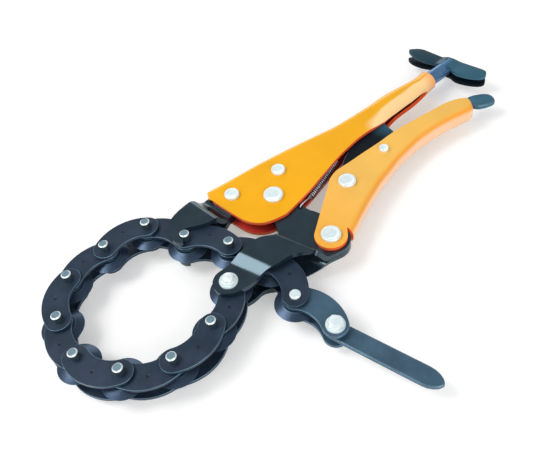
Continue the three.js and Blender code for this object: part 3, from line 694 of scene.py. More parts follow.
@tree(
    "Threaded rod", ("Radius", "Float"), ("Depth", "Float"), ("Pitch", "Float"),
    ("Length", "Float"), ("Rows", "Int"), ("Sides", "Int"), ("Tilt", "Rotation"),
    ("Place", "Vector"),
)
def thread_tree(graph, given):
    """A threaded rod along Z: the radius swings with the height less the turn."""
    grid, row, turn = round_grid(graph, given, given("Rows"))
    share = row / (given("Rows") - 1)
    height = share * given("Length")
    wave = (height / given("Pitch") - turn) % 1
    ridge = (wave - 0.5).size() * 2
    ends = share.between(0, 0.03) * (1 - share).between(0, 0.03)
    reach = (given("Radius") - given("Depth") * ridge) * (share > 0) * (share < 1)
    reach = reach * (ends * 0.25 + 0.75)
    rolled(graph, given, grid, graph.polar(reach, turn * (2 * math.pi), height))


@tree(
    "Chain link", ("Low level", "Float"), ("Sheet", "Float"), ("Pitch", "Float"),
    ("Turn", "Rotation"), ("Place", "Vector"), ("Pin", "Object"), ("Pins", "Int"),
    ("Mark height", "Float"),
)
def link_tree(graph, given):
    """Two plates from an outline, one above and one below, and pins at both ends."""
    low, sheet = given("Low level"), given("Sheet")
    curve = graph.node("GeometryNodeMeshToCurve", None, {0: given("Geometry")})
    face = graph.node("GeometryNodeFillCurve", {"mode": "NGONS"}, {0: curve})
    lifted = graph.node("GeometryNodeExtrudeMesh", None, {
        "Mesh": face, "Offset": graph.vector(0, 0, 1), "Offset Scale": sheet,
        "Individual": False,
    })
    base = graph.node("GeometryNodeFlipFaces", None, {"Mesh": face})
    plate = graph.weld(graph.join(base, lifted))
    upper = graph.move(plate, Translation=graph.vector(0, 0, low))
    under = graph.move(plate, Translation=graph.vector(0, 0, 0 - low - sheet))
    plates = graph.join(under, upper)
    marked = graph.store(plates, "sheet", True, data_type="BOOLEAN", domain="FACE")
    x, y, _ = graph.split(graph.node("GeometryNodeInputPosition"))
    spot = graph.vector(x - given("Pitch") * 0.5, y - given("Mark height"), 0)
    located = graph.store(marked, "local", spot)
    ends = graph.node("GeometryNodeMeshLine", None, {
        "Count": given("Pins"), "Offset": graph.vector(given("Pitch"), 0, 0),
    })
    shape = graph.node("GeometryNodeObjectInfo", None, {"Object": given("Pin")})
    pins = graph.node("GeometryNodeInstanceOnPoints", None, {
        "Points": ends, "Instance": shape.out("Geometry"),
    })
    whole = graph.join(pins, located)
    moved = graph.move(whole, Translation=given("Place"), Rotation=given("Turn"))
    selected = graph.node(
        "GeometryNodeInputNamedAttribute", {"data_type": "BOOLEAN"}, {"Name": "sheet"}
    )
    end_tree(graph, moved, given, selected)


@tree("Spring wire", ("Wire radius", "Float"), ("Sides", "Int"))
def wire_tree(graph, given):
    """A round wire along a path."""
    curve = graph.node("GeometryNodeMeshToCurve", None, {0: given("Geometry")})
    section = graph.node("GeometryNodeCurvePrimitiveCircle", None, {
        "Resolution": given("Sides"), "Radius": given("Wire radius"),
    })
    tube = graph.node("GeometryNodeCurveToMesh", None, {
        "Curve": curve, "Profile Curve": section, "Fill Caps": True,
    })
    end_tree(graph, tube, given)


# Making and finishing pieces


def path_mesh(points, closed=False):
    """A line through points, as a mesh."""
    mesh = bpy.data.meshes.new("path")
    count = len(points)
    edges = [(i, (i + 1) % count) for i in range(count if closed else count - 1)]
    mesh.from_pydata([tuple(p) for p in points], edges, [])
    return mesh


def linked(name, data):
    """A new object in the scene."""
    made = bpy.data.objects.new(name, data)
    bpy.context.scene.collection.objects.link(made)
    return made


def mesh_of(form, name):
    """The mesh of a form that is then done with."""
    mesh = bpy.data.meshes.new(name)
    form.to_mesh(mesh)
    form.free()
    return mesh


def apply_live(made):
    """Makes what the modifiers do to a piece its plain mesh."""
    graph = bpy.context.evaluated_depsgraph_get()
    mesh = bpy.data.meshes.new_from_object(made.evaluated_get(graph))
    made.modifiers.clear()
    made.data = mesh
    return mesh


def smooth(mesh, angle):
    """Shades a mesh smooth, but for the edges that are sharper than an angle."""
    mesh.shade_smooth()
    mesh.set_sharp_from_angle(angle=math.radians(angle))


def settle(made, angle=35):
    """Applies what is live on a piece, closes it, and turns its faces outwards."""
    mesh = apply_live(made)
    form = bmesh.new()
    form.from_mesh(mesh)
    bmesh.ops.recalc_face_normals(form, faces=form.faces)
    form.to_mesh(mesh)
    form.free()
    smooth(mesh, angle)
    return made


def gauge(made, sheet, **settings):
    """Gives a surface the thickness of its sheet, inwards."""
    wall = made.modifiers.new("sheet", "SOLIDIFY")
    for key, value in {"thickness": sheet, "offset": -1, **settings}.items():
        setattr(wall, key, value)


def grow(name, tree, base, values):
    """The result of a geometry tree on a base mesh, as a plain object."""
    made = linked(name, base)
    shape = made.modifiers.new("shape", "NODES")
    shape.node_group = tree
    for item in tree.interface.items_tree:
        if item.in_out == "INPUT" and item.name in values:
            shape[item.identifier] = values[item.name]
    return settle(made)


def round_edges(made, width, angle, rim=None):
    """Rounds the sharp edges, with a finish of their own where one is given."""
    bevel = made.modifiers.new("rounding", "BEVEL")
    bevel.width = width
    bevel.segments = 2
    bevel.limit_method = "ANGLE"
    bevel.angle_limit = math.radians(angle)
    bevel.use_clamp_overlap = True
    if rim is not None:
        made.data.materials.append(rim)
        bevel.material = len(made.data.materials) - 1
    flat = made.modifiers.new("flat faces", "WEIGHTED_NORMAL")
    flat.keep_sharp = True
    apply_live(made)
    return made


def put(made, slot, *nodes):
    """Lets a piece stand for its CAD nodes, on the body that carries them."""
    body = frame["nodes"][nodes[0]]["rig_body"]
    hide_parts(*nodes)
    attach(made, body)


def sheet_piece(name, outline, low, high, finish, rim, rounding):
    """A flat plate from an outline, with rounded rims."""
    form = bmesh.new()
    face = form.faces.new([form.verts.new((x, y, low)) for x, y in outline])
    lifted = bmesh.ops.extrude_face_region(form, geom=[face])
    verts = [item for item in lifted["geom"] if isinstance(item, bmesh.types.BMVert)]
    bmesh.ops.translate(form, verts=verts, vec=(0, 0, high - low))
    bmesh.ops.translate(form, verts=form.verts, vec=MAIN_PIVOT)
    mesh = mesh_of(form, name)
    mesh.materials.append(finish)
    return round_edges(settle(linked(name, mesh)), rounding, 50, rim)


def arc(centre, radius, start, stop, steps):
    """Points of an arc between two angles in degrees."""
    points = []
    for i in range(steps + 1):
        turn = math.radians(start + (stop - start) * i / steps)
        points.append((centre[0] + radius * math.cos(turn), centre[1] + radius * math.sin(turn)))
    return points


def scaled(table, width, height, centre=(0, 0)):
    """Points that a table gives as shares of a width and a height from a centre."""
    return [(centre[0] + x * width, centre[1] + y * height) for x, y in table]


# Chain


def link_outline(pitch, sizes):
    """Outline of a link: round ends, an arched outer edge and a pulled-in inner edge."""
    half = pitch / 2
    end, bulge, waist = sizes.end_radius, sizes.bulge, sizes.waist
    crown = (half**2 + bulge**2 - end**2) / (2 * (bulge - end))
    dip = end - waist
    hollow = (half**2 - dip**2) / (2 * dip)
    shoulder = math.degrees(math.atan2(crown - bulge, half))
    hip = math.degrees(math.atan2(hollow, half))
    return [
        *arc((0, 0), end, 180 - shoulder, 360 - hip, 20),
        *arc((half, -hollow), hollow - waist, 180 - hip, hip, 12)[1:-1],
        *arc((pitch, 0), end, 180 + hip, 360 + shoulder, 20),
        *arc((half, bulge - crown), crown, shoulder, 180 - shoulder, 16)[1:-1],
    ]


def tall_pin(reach, sizes):
    """Profile of a pin that stands well clear of its plates on both sides."""
    tip = sizes.pin_radius - sizes.pin_chamfer
    shoulder = reach - sizes.pin_chamfer
    return [
        (0, -reach), (tip, -reach), (sizes.pin_radius, -shoulder),
        (sizes.pin_radius, shoulder), (tip, reach), (0, reach),
    ]


def headed_pin(seat, reach, sizes):
    """Profile of a short pin with a head above, and a flatter one out of sight below."""
    head = sizes.pin_radius + sizes.tail_head
    crown = (reach - seat) * 0.35
    inner = head - crown
    low = seat + (reach - seat) * 0.4
    return [
        (0, -low), (inner, -low), (head, crown * 0.3 - low), (head, -seat),
        (sizes.pin_radius, -seat), (sizes.pin_radius, seat),
        (head, seat), (head, reach - crown), (inner, reach), (0, reach),
    ]


def mirrored(upper):
    """The lower half of a profile that is the same above and below."""
    return [(radius, -height) for radius, height in reversed(upper)]


def turned(name, profile, place, finish, sides, tilt=(0, 0, 0)):
    """A piece turned from a profile of radii and heights."""
    line = path_mesh([(radius, 0, height) for radius, height in profile])
    return grow(name, turned_tree(), line, {
        "Sides": sides, "Tilt": tilt, "Place": place, "Finish": finish,
    })


class CUTTER_OT_links(bpy.types.Operator):
    """Builds the links of the chain with their pins."""

    bl_idname = "cutter.links"
    bl_label = "Chain links"

    def execute(self, context):
        sizes = context.scene.cutter_chain
        finish = finishes(context)
        tall_reach = -level("link_hg_lower_with_pins", 0)
        short_reach = -level("link_lm_lower_with_pins", 0)
        cropped = tall_pin(tall_reach, sizes)
        headed = headed_pin(level("link_hg_upper", 1), short_reach, sizes)
        tall = turned("tall_pin", cropped, (0, 0, 0), finish["pin"], sizes.sides)
        short = turned("short_pin", headed, (0, 0, 0), finish["zinc"], sizes.sides)
        for i, (first, last) in enumerate(zip(PINS, PINS[1:])):
            body = f"link_{PIN_NAMES[i]}{PIN_NAMES[i + 1]}"
            outer = i % 2 == 1
            upper = f"{body}_upper"
            lower = f"{body}_lower_with_pins" if outer else f"{body}_lower"
            low, high = level(upper, 0), level(upper, 1)
            along = last - first
            outline = [(x, y, 0) for x, y in link_outline(along.length, sizes)]
            made = grow(body, link_tree(), path_mesh(outline, True), {
                "Low level": low, "Sheet": high - low, "Pitch": along.length,
                "Turn": (0, 0, math.atan2(along.y, along.x)), "Place": first,
                "Pin": short if PIN_NAMES[i] == "l" else tall,
                "Pins": 2 if outer else 0, "Mark height": sizes.mark,
                "Finish": finish["strap" if body == "link_mn" else "link"],
            })
            # The rounded rims of the links get the painted highlight steel
            round_edges(made, sizes.edge, 50, finish["worn"])
            put(made, "black_steel", upper, lower)
        for pin in (tall, short):
            bpy.data.objects.remove(pin)
        return {"FINISHED"}


class CUTTER_OT_wheels(bpy.types.Operator):
    """Builds the cutting wheels."""

    bl_idname = "cutter.wheels"
    bl_label = "Cutting wheels"

    def execute(self, context):
        sizes = context.scene.cutter_chain
        finish = finishes(context)["wheel"]
        hub_half = level("wheel_i", 1)
        reach = (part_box("wheel_i")[1] - middle("wheel_i")).x
        hub, ring, ring_half = sizes.hub_radius, sizes.ring_radius, sizes.ring_half
        bore = sizes.pin_radius * 1.1
        upper = [
            (reach, 0), (ring, ring_half), (ring - 0.0002, ring_half + 0.00005),
            (hub + 0.0002, ring_half + 0.00015), (hub, hub_half - 0.0002),
            (hub - 0.0002, hub_half), (bore, hub_half),
        ]
        lower = mirrored(upper)
        profile = [*lower, *upper[1:], lower[0]]
        for name, place in zip(PIN_NAMES, PINS[:-1]):
            node = f"wheel_{name}"
            made = turned(f"{node}_turned", profile, place, finish, sizes.sides)
            put(made, "wheel_steel", node)
        return {"FINISHED"}


# Rivets, nuts and bolts


class CUTTER_OT_rivets(bpy.types.Operator):
    """Builds the rivets of the body, the lever and the jaws."""

    bl_idname = "cutter.rivets"
    bl_label = "Rivets"

    def execute(self, context):
        sizes = context.scene.cutter_fasteners
        sides = context.scene.cutter_chain.sides
        finish = finishes(context)["zinc"]
        for node in frame["nodes"]:
            if not node.startswith("rivet_"):
                continue
            place = middle(node)
            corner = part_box(node)[1] - place
            head, top = corner.x, corner.z
            seat = top - sizes.head_height
            dish = sizes.dish
            upper = [
                (head * 0.7, seat), (head * 0.97, seat), (head, seat + 0.0003),
                (head, top - 0.0009), (head * 0.985, top - 0.0005), (head * 0.95, top - 0.0002),
                (head * 0.90, top - 0.00005), (head * 0.85, top), (head * 0.80, top - 0.00004),
                (head * 0.74, top - dish * 0.3), (head * 0.66, top - dish * 0.7),
                (head * 0.58, top - dish * 0.93), (head * 0.48, top - dish),
                (head * 0.30, top - dish), (0, top - dish * 0.85),
            ]
            profile = [*mirrored(upper), *upper]
            put(turned(f"{node}_headed", profile, place, finish, sides), "zinc_plate", node)
        return {"FINISHED"}


def hex_nut(place, flat, low, high, crown, finish):
    """A nut whose corners are turned down towards its outer face."""
    form = bmesh.new()
    rings = []
    steps, sixth = 48, math.pi / 3
    outward = 1 if high > low else -1
    for i in range(5):
        share = i / 4
        height = low if i == 0 else high - outward * crown * (1 - share) * 4 / 3
        limit = flat / math.cos(sixth / 2) if i < 2 else flat * (1.155 - 0.2 * share**3)
        points = []
        for k in range(steps):
            angle = 2 * math.pi * k / steps
            reach = min(flat / math.cos(angle % sixth - sixth / 2), limit)
            corner = Vector((reach * math.cos(angle), reach * math.sin(angle), height))
            points.append(form.verts.new(place + corner))
        rings.append(points)
    for below, above in zip(rings, rings[1:]):
        for k in range(steps):
            j = (k + 1) % steps
            form.faces.new((below[k], below[j], above[j], above[k]))
    form.faces.new(reversed(rings[0]))
    form.faces.new(rings[-1])
    bmesh.ops.recalc_face_normals(form, faces=form.faces)
    mesh = mesh_of(form, "nut")
    mesh.materials.append(finish)
    return linked("nut", mesh)


def merged(name, parts, angle=45):
    """One piece from several, each a closed body that keeps its own finish."""
    form = bmesh.new()
    kept = []
    for part in parts:
        known = len(form.faces)
        form.from_mesh(part.data)
        slots = []
        for material in part.data.materials:
            if material not in kept:
                kept.append(material)
            slots.append(kept.index(material))
        form.faces.ensure_lookup_table()
        for face in form.faces[known:]:
            face.material_index = slots[face.material_index]
        bpy.data.objects.remove(part)
    mesh = mesh_of(form, name)
    for material in kept:
        mesh.materials.append(material)
    smooth(mesh, angle)
    return linked(name, mesh)


class CUTTER_OT_bolts(bpy.types.Operator):
    """Builds the bolts and nuts that carry the chain and the strap."""

    bl_idname = "cutter.bolts"
    bl_label = "Bolts"

    def execute(self, context):
        sizes = context.scene.cutter_fasteners
        chain = context.scene.cutter_chain
        finish = finishes(context)["zinc"]
        thick, flat, dome = sizes.washer_height, sizes.nut_flat, sizes.dome
        shank = chain.pin_radius
        upper_crown, lower_crown, lower_nut = 0.0007, 0.0006, 0.0033
        for node, seat_drop, drop, tip_height in (
            ("anchor_bolt", 0.0044, 0.0020, dome), ("strap_bolt", 0.0034, 0.0003, dome * 0.35),
        ):
            place = on_plane(node)
            low, top = level(node, 0), level(node, 1)
            seat = top - seat_drop
            washer = [
                (0, seat), (sizes.washer * 0.985, seat), (sizes.washer, seat + thick * 0.3),
                (sizes.washer * 0.97, seat + thick), (0, seat + thick),
            ]
            rod = [(0, low), (shank, low)]
            for i in range(9):
                turn = math.pi / 2 * i / 8
                rod.append((shank * 1.15 * math.cos(turn), top - tip_height * (1 - math.sin(turn))))
            parts = [
                turned("washer", washer, place, finish, chain.sides),
                turned("shank", rod, place, finish, chain.sides),
                hex_nut(place, flat, seat + thick, top - drop, upper_crown, finish),
            ]
            if node == "strap_bolt":
                parts.append(hex_nut(place, flat, low + lower_nut, low, lower_crown, finish))
            put(merged(f"{node}_set", parts, 28), "zinc_plate", node)
        node = "anchor_nut"
        low, top = level(node, 0), level(node, 1)
        nut = hex_nut(on_plane(node), flat, top, low, lower_crown, finish)
        put(merged(f"{node}_set", [nut], 28), "zinc_plate", node)
        return {"FINISHED"}


# Pliers

# Stations along the body, counted from its front: rise of the spine, fall of the feet, bulge
# of the walls, rounding of the fold and curl of the feet, all as shares
BODY_STATIONS = (
    (0, 1, 1, 0, 0, 0), (0.096, 0.89, 1, 0, 0, 0), (0.222, 0.76, 0.93, 0, 0, 0),
    (0.349, 0.6, 0.75, 0, 0, 0), (0.475, 0.42, 0.61, 0, 0, 0), (0.538, 0.326, 0.6, 0, 0.05, 0),
    (0.602, 0.26, 0.67, 0.08, 0.1, 0.02), (0.64, 0.226, 0.75, 0.22, 0.16, 0.12),
    (0.665, 0.206, 0.8, 0.35, 0.2, 0.19), (0.69, 0.185, 0.83, 0.5, 0.35, 0.27),
    (0.727, 0.16, 0.82, 0.74, 0.55, 0.46), (0.755, 0.15, 0.83, 0.88, 0.75, 0.57),
    (0.791, 0.137, 0.86, 1, 1, 0.61), (0.854, 0.07, 0.93, 1, 1, 0.62),
    (0.905, 0.01, 0.95, 1, 1, 0.68), (0.925, -0.015, 0.96, 1, 1, 0.84),
    (0.945, -0.032, 0.967, 1, 1, 1.121), (0.981, -0.055, 0.96, 1, 1, 1.121),
    (1, -0.065, 0.953, 1, 1, 1.121),
)
BODY_CHIN = (
    (0, 0.33), (0.003, 0.04), (0.015, -0.134), (0.041, -0.28), (0.078, -0.366), (0.12, -0.43),
)
BODY_BROW = ((0, 0.83), (0.022, 0.975))
BODY_SHARES = (
    0, 0.0015, 0.003, 0.006, 0.01, 0.015, 0.022, 0.031, 0.041, 0.053, 0.065,
    *(0.078 + 0.922 * i / 90 for i in range(91)),
)

# Angle in radians by which a curl of 1 turns the feet. From the first curl to the second, where
# they close round the screw, the feet grow wider by a share
CURL_ANGLE = 1.4
CLOSING_CURLS = (0.93, 1.121)
CLOSING_GROWTH = 0.084

# Stations along the lever: fall of the spine, fall of the edge and bulge of the walls
LEVER_STATIONS = (
    (0, 1.17, 0.648, 0), (0.0398, 1.136, 0.605, 0), (0.1183, 1.069, 0.492, 0),
    (0.1753, 1.025, 0.389, 0), (0.229, 0.989, 0.361, 0), (0.314, 0.938, 0.398, 0),
    (0.3796, 0.917, 0.425, 0), (0.4935, 0.88, 0.478, 0), (0.5968, 0.88, 0.52, 0.5),
    (0.714, 0.922, 0.602, 1), (0.8247, 0.993, 0.685, 1), (0.8978, 1.062, 0.74, 1),
    (0.972, 1.131, 0.846, 0.8), (1, 1.159, 0.929, 0.7),
)
LEVER_SHARES = (
    *(i / 80 for i in range(75)), 0.935, 0.944, 0.952, 0.96, 0.968, 0.975, 0.981, 0.986, 0.991,
    0.995, 1,
)
LEVER_BROW = (0.72, 0.78, 0.84, 0.9, 0.96)

# Share of the lever at which its rear corner starts to be rounded
TAIL_START = 0.93

# The walls of the lever bulge by this share of what the body's do
LEVER_BULGE = 0.52


def steady(stations, column):
    """A smooth curve through one column of a table that never swings past its values."""
    xs = [row[0] for row in stations]
    ys = [row[column] for row in stations]
    steps = [(b - a) / (d - c) for a, b, c, d in zip(ys, ys[1:], xs, xs[1:])]
    slopes = [steps[0]]
    for before, after in zip(steps, steps[1:]):
        same = before * after > 0
        slopes.append(2 * before * after / (before + after) if same else 0)
    slopes.append(steps[-1])

    def at(x):
        x = min(max(x, xs[0]), xs[-1])
        i = max(k for k in range(len(xs) - 1) if xs[k] <= x)
        span = xs[i + 1] - xs[i]
        t = (x - xs[i]) / span
        return (
            ys[i] * (1 + 2 * t) * (1 - t) ** 2 + ys[i + 1] * t * t * (3 - 2 * t)
            + slopes[i] * span * t * (1 - t) ** 2 - slopes[i + 1] * span * t * t * (1 - t)
        )

    return at


# Least straight wall under the fold of a channel
LEAST_WALL = 0.0006


def half_section(depth, half, corner, curl, foot):
    """Spine, fold, wall and curled foot of a channel, as depth and height from the spine."""
    bend = foot / curl if curl > 0.01 else 0
    start = depth - (bend * math.sin(curl) if bend else foot)
    corner = min(corner, start - LEAST_WALL)
    points = [(0, 0), (0, (half - corner) / 2)]
    for i in range(9):
        turn = math.pi / 2 * i / 8
        points.append((
            corner * (1 - math.cos(turn)), half - corner + corner * math.sin(turn),
        ))
    points += [(corner + (start - corner) * share, half) for share in (0.33, 0.67, 1)]
    for i in range(1, 13):
        turn = curl * i / 12
        if bend:
            points.append((start + bend * math.sin(turn), half - bend * (1 - math.cos(turn))))
        else:
            points.append((start + foot * i / 12, half))
    return points


def skin(form, rings):
    """Joins rings of points into one sheet."""
    rows = [[form.verts.new(point) for point in ring] for ring in rings]
    for near, far in zip(rows, rows[1:]):
        for i in range(len(near) - 1):
            form.faces.new((near[i], near[i + 1], far[i + 1], far[i]))
    return rows


def thicken(name, form, sheet, rounding, paints):
    """Gives a sheet its thickness inwards, a paint on each side and rounded rims."""
    bmesh.ops.recalc_face_normals(form, faces=form.faces)
    if sum(face.normal.z * face.calc_center_median().z for face in form.faces) < 0:
        bmesh.ops.reverse_faces(form, faces=form.faces)
    bmesh.ops.translate(form, verts=form.verts, vec=MAIN_PIVOT)
    mesh = mesh_of(form, name)
    for paint in paints:
        mesh.materials.append(paint)
    made = linked(name, mesh)
    gauge(made, sheet, material_offset=1, material_offset_rim=2)
    return round_edges(settle(made, 60), rounding, 60)


def body_form(sizes):
    """The folded body: flat walls in front, a tube round the screw behind."""
    rise, near_curl, far_curl = sizes.rise, *CLOSING_CURLS
    top, low, bulge, corner, curl = (steady(BODY_STATIONS, k) for k in range(1, 6))
    chin, brow = steady(BODY_CHIN, 1), steady(BODY_BROW, 1)
    form = bmesh.new()
    rings = []
    for share in BODY_SHARES:
        spine = top(share) * rise
        edge = -low(share) * sizes.fall
        if share < BODY_BROW[-1][0]:
            spine = min(spine, brow(share) * rise)
        if share < BODY_CHIN[-1][0]:
            edge = max(edge, chin(share) * rise)
        half = sizes.half + bulge(share) * sizes.bulge
        fold = sizes.fold + corner(share) * (sizes.tube_fold - sizes.fold)
        bend = curl(share)
        closing = max(0, bend - near_curl) / (far_curl - near_curl)
        foot = sizes.foot * (1 + CLOSING_GROWTH * closing)
        points = half_section(spine - edge, half, fold, bend * CURL_ANGLE, foot)
        x = share * sizes.body_length - sizes.body_front
        upper = [(x, spine - depth, height) for depth, height in reversed(points)]
        under = [(x, spine - depth, -height) for depth, height in points[1:]]
        rings.append(upper + under)
    skin(form, rings)
    return form


def lever_form(sizes):
    """The lever: a channel open towards the body, with an ear on each wall."""
    length, drop = sizes.lever_length, -MAIN_TO_LEVER.y
    start, half, fold = sizes.lever_start, sizes.half, sizes.lever_fold
    fall, edge, bulge = (steady(LEVER_STATIONS, k) for k in range(1, 4))
    corner, touch = lever_brow(sizes, drop)
    tail_low, tail_high = (0.963, -1.2 * drop), (1.0, -0.929 * drop)
    form = bmesh.new()
    rings = []
    for share in LEVER_SHARES:
        near = MAIN_TO_LEVER.x + start + share * (length - start)
        foot = -edge(share) * drop
        if near < corner.x:
            foot = corner.y + (near - corner.x) * (corner.y - touch.y) / (corner.x - touch.x)
        rounding = min(1, max(0, (share - TAIL_START) / (1 - TAIL_START)))
        spine = -fall(share) * drop + sizes.tail_round * (1 - math.sqrt(1 - 0.92 * rounding**2))
        wide = half + bulge(share) * sizes.bulge * LEVER_BULGE
        points = half_section(foot - spine, wide, fold, 0, sizes.foot * 0.1)
        late = max(0, (share - 0.9) / 0.1) ** 2
        ring = []
        for depth, height in reversed(points):
            y = spine + depth
            lean = (y - tail_low[1]) / (tail_high[1] - tail_low[1])
            slant = tail_low[0] + (tail_high[0] - tail_low[0]) * min(1, max(0, lean)) - 1
            ring.append((near + late * slant * length, y, height))
        rings.append(ring + [(x, y, -z) for x, y, z in reversed(ring[:-1])])
    rows = skin(form, rings)
    brow = [corner.lerp(touch, share) for share in LEVER_BROW]
    outline = brow + arc(MAIN_TO_LEVER, sizes.ear_radius, 117, 310, 40)
    for height in (half, -half):
        wall = [v for v in rows[0] if abs(v.co.z - height) < 0.00002]
        wall.sort(key=lambda v: v.co.y)
        form.faces.new(wall + [form.verts.new((x, y, height)) for x, y in outline])
    return form


def lever_brow(sizes, drop):
    """Ends of the straight edge from the lever's corner to the round of its ear."""
    corner = Vector((0.0288, -0.389 * drop))
    centre = MAIN_TO_LEVER.to_2d()
    away = centre - corner
    turn = math.asin(sizes.ear_radius / away.length)
    heading = math.atan2(away.y, away.x) - turn
    reach = away.length * math.cos(turn)
    touch = corner + Vector((math.cos(heading), math.sin(heading))) * reach
    return corner, touch


class CUTTER_OT_shells(bpy.types.Operator):
    """Forms the painted shells of the body and the lever."""

    bl_idname = "cutter.shells"
    bl_label = "Body and lever shells"

    def execute(self, context):
        finish = finishes(context)
        sizes = context.scene.cutter_shells
        for node, form, paint, slot in (
            ("body_shell", body_form(sizes), "amber", "amber_paint"),
            ("lever", lever_form(sizes), "orange", "orange_paint"),
        ):
            # The outer paint, then the painted shade for the inside and for the cut edges
            paints = finish[paint], finish["inner"], finish["edge"]
            made = thicken(f"{node}_formed", form, sizes.sheet, sizes.rounding, paints)
            put(made, slot, node)
        return {"FINISHED"}


# Outlines of the jaws and inner levers, as shares of the sizes that they are counted in
JAW_TOP = (
    (0.16, 0.08), (0.22, 0.3), (0.31, 0.47), (0.402, 0.552), (0.524, 0.407), (0.683, 0.4),
    (0.844, 0.382),
)
JAW_CHIN = (
    (1.07, 0.705), (0.916, 0.782), (0.762, 0.777), (0.634, 0.87), (0.535, 0.885),
    (0.452, 0.925), (0.375, 1.02), (0.27, 1.135),
)
JAW_BACK = ((-0.128, 0.74), (-0.116, 0.568), (-0.087, 0.474))
CHEEK_TOP = (
    (0.53, 0.86), (0.565, 0.87), (0.6, 0.886), (0.77, 0.886), (0.89, 0.829), (0.976, 0.686),
    (1.017, 0.511), (1.006, 0.4), (0.972, 0.34),
)
CHEEK_CHIN = ((0.837, 0.526), (0.769, 0.44), (0.683, 0.34), (0.548, 0.283))
TANG_CHIN = ((0.3, 0.31), (-0.12, 0.32))
TANG_TOP = ((-0.36, 0.52), (0.26, 0.85))


def softened(points, cut=0.004, sharp_cut=0.0008, corner=60, steps=5):
    """A closed outline with rounded corners, which stays within the one given."""
    points = [Vector(p) for p in points]
    made = []
    for i, point in enumerate(points):
        into, out = point - points[i - 1], points[(i + 1) % len(points)] - point
        sharp = abs(into.angle_signed(out)) > math.radians(corner)
        reach = sharp_cut if sharp else cut
        start = point - into.normalized() * min(reach, into.length / 2)
        stop = point + out.normalized() * min(reach, out.length / 2)
        for k in range(steps + 1):
            t = k / steps
            spot = start * (1 - t) ** 2 + point * (2 * t * (1 - t)) + stop * t * t
            if not made or (spot - made[-1]).length > 0.00002:
                made.append(spot)
    if (made[0] - made[-1]).length < 0.00002:
        made.pop()
    return made


# Cuts on each side of a bend, across the length over which it is rounded
KNEE_CUTS = 5


def bent_sheet(name, outline, lean, profile, sheet, under, rounding, finish, rim, holes=()):
    """A sheet cut to an outline that jogs between heights with rounded bends."""
    across = Vector((math.cos(lean), math.sin(lean), 0))
    form = bmesh.new()
    for loop in (outline, *holes):
        verts = [form.verts.new((x, y, 0)) for x, y in loop]
        for near, far in zip(verts, verts[1:] + verts[:1]):
            form.edges.new((near, far))
    bmesh.ops.triangle_fill(form, edges=form.edges, use_beauty=True, use_dissolve=not holes)
    for place, _, soft in profile[1:-1]:
        for k in range(-KNEE_CUTS, KNEE_CUTS + 1):
            bmesh.ops.bisect_plane(
                form, geom=[*form.verts, *form.edges, *form.faces], dist=0.0000005,
                plane_co=across * (place + soft * k / KNEE_CUTS), plane_no=across,
            )
    for vert in form.verts:
        vert.co.z = soft_height(profile, vert.co.dot(across))
    bmesh.ops.recalc_face_normals(form, faces=form.faces)
    if form.faces[:][0].normal.z < 0:
        bmesh.ops.reverse_faces(form, faces=form.faces)
    mesh = mesh_of(form, name)
    mesh.materials.append(finish)
    made = linked(name, mesh)
    gauge(made, sheet, use_even_offset=True)
    settle(made, 40)
    if under:
        made.data.transform(Matrix.Scale(-1, 4, (0, 0, 1)))
        made.data.flip_normals()
    made.data.transform(Matrix.Translation(MAIN_PIVOT))
    return round_edges(made, rounding, 60, rim)


def soft_height(profile, x):
    """Height of a bent line whose knees are each rounded over a soft length."""
    for (x0, z0, _), (x1, z1, _) in zip(profile, profile[1:]):
        if x <= x1:
            height = z0 + (z1 - z0) * (x - x0) / (x1 - x0)
            break
    for (x0, z0, _), (x1, z1, soft), (x2, z2, _) in zip(profile, profile[1:], profile[2:]):
        away = abs(x - x1)
        if away < soft:
            knee = (z2 - z1) / (x2 - x1) - (z1 - z0) / (x1 - x0)
            height += knee * (soft - away) ** 2 / (4 * soft)
    return height


# Where the hooks of the spring sit, from the main pivot
SPRING_HOLE = Vector((0.0037, -0.0165, 0))
SPRING_ANCHOR = Vector((0.0505, -0.0063, 0))

# More outlines, as shares in the same way
TOGGLE_UNDER = ((0.919, 0.239), (0.965, 0.62))
TOGGLE_TOP = ((0.6, 0.85), (0.3, 0.68), (0.08, 0.42))
RELEASE_OUTLINE = (
    (-0.127, 0.007), (-0.108, -0.075), (0, -0.116), (0.1, -0.067), (0.21, -0.079),
    (0.28, -0.172), (0.316, -0.195), (0.36, -0.135), (0.396, 0.007), (0.47, 0.18),
    (0.654, 0.375), (0.79, 0.457), (0.886, 0.386), (0.993, 0.663), (1, 0.824), (0.97, 0.966),
    (0.939, 1), (0.829, 0.816), (0.811, 0.585), (0.753, 0.53), (0.654, 0.47), (0.47, 0.36),
    (0.31, 0.157), (0.15, 0.112), (0, 0.12), (-0.096, 0.1),
)
STRAP_TIP = ((0.84, -1), (0.89, -0.93), (0.935, -0.76), (0.972, -0.5), (0.993, -0.22))
STRAP_HEADING = math.radians(-81.5)

# Bends of the jaw plates: the lean of a moving jaw's bends, how far each bend lies from its pin
# or pivot, its run, and the length over which its knees are rounded
JAW_LEAN = math.radians(11)
EAR_REACH, EAR_RUN, EAR_SOFT = 0.0095, 0.0070, 0.0025
TANG_REACH = 0.0121
CHEEK_REACH, CHEEK_RUN, CHEEK_SOFT = 0.0196, 0.0048, 0.0023
REAR_BENDS = {"upper": (0.004, 0.0012), "lower": (0.010, 0.002)}


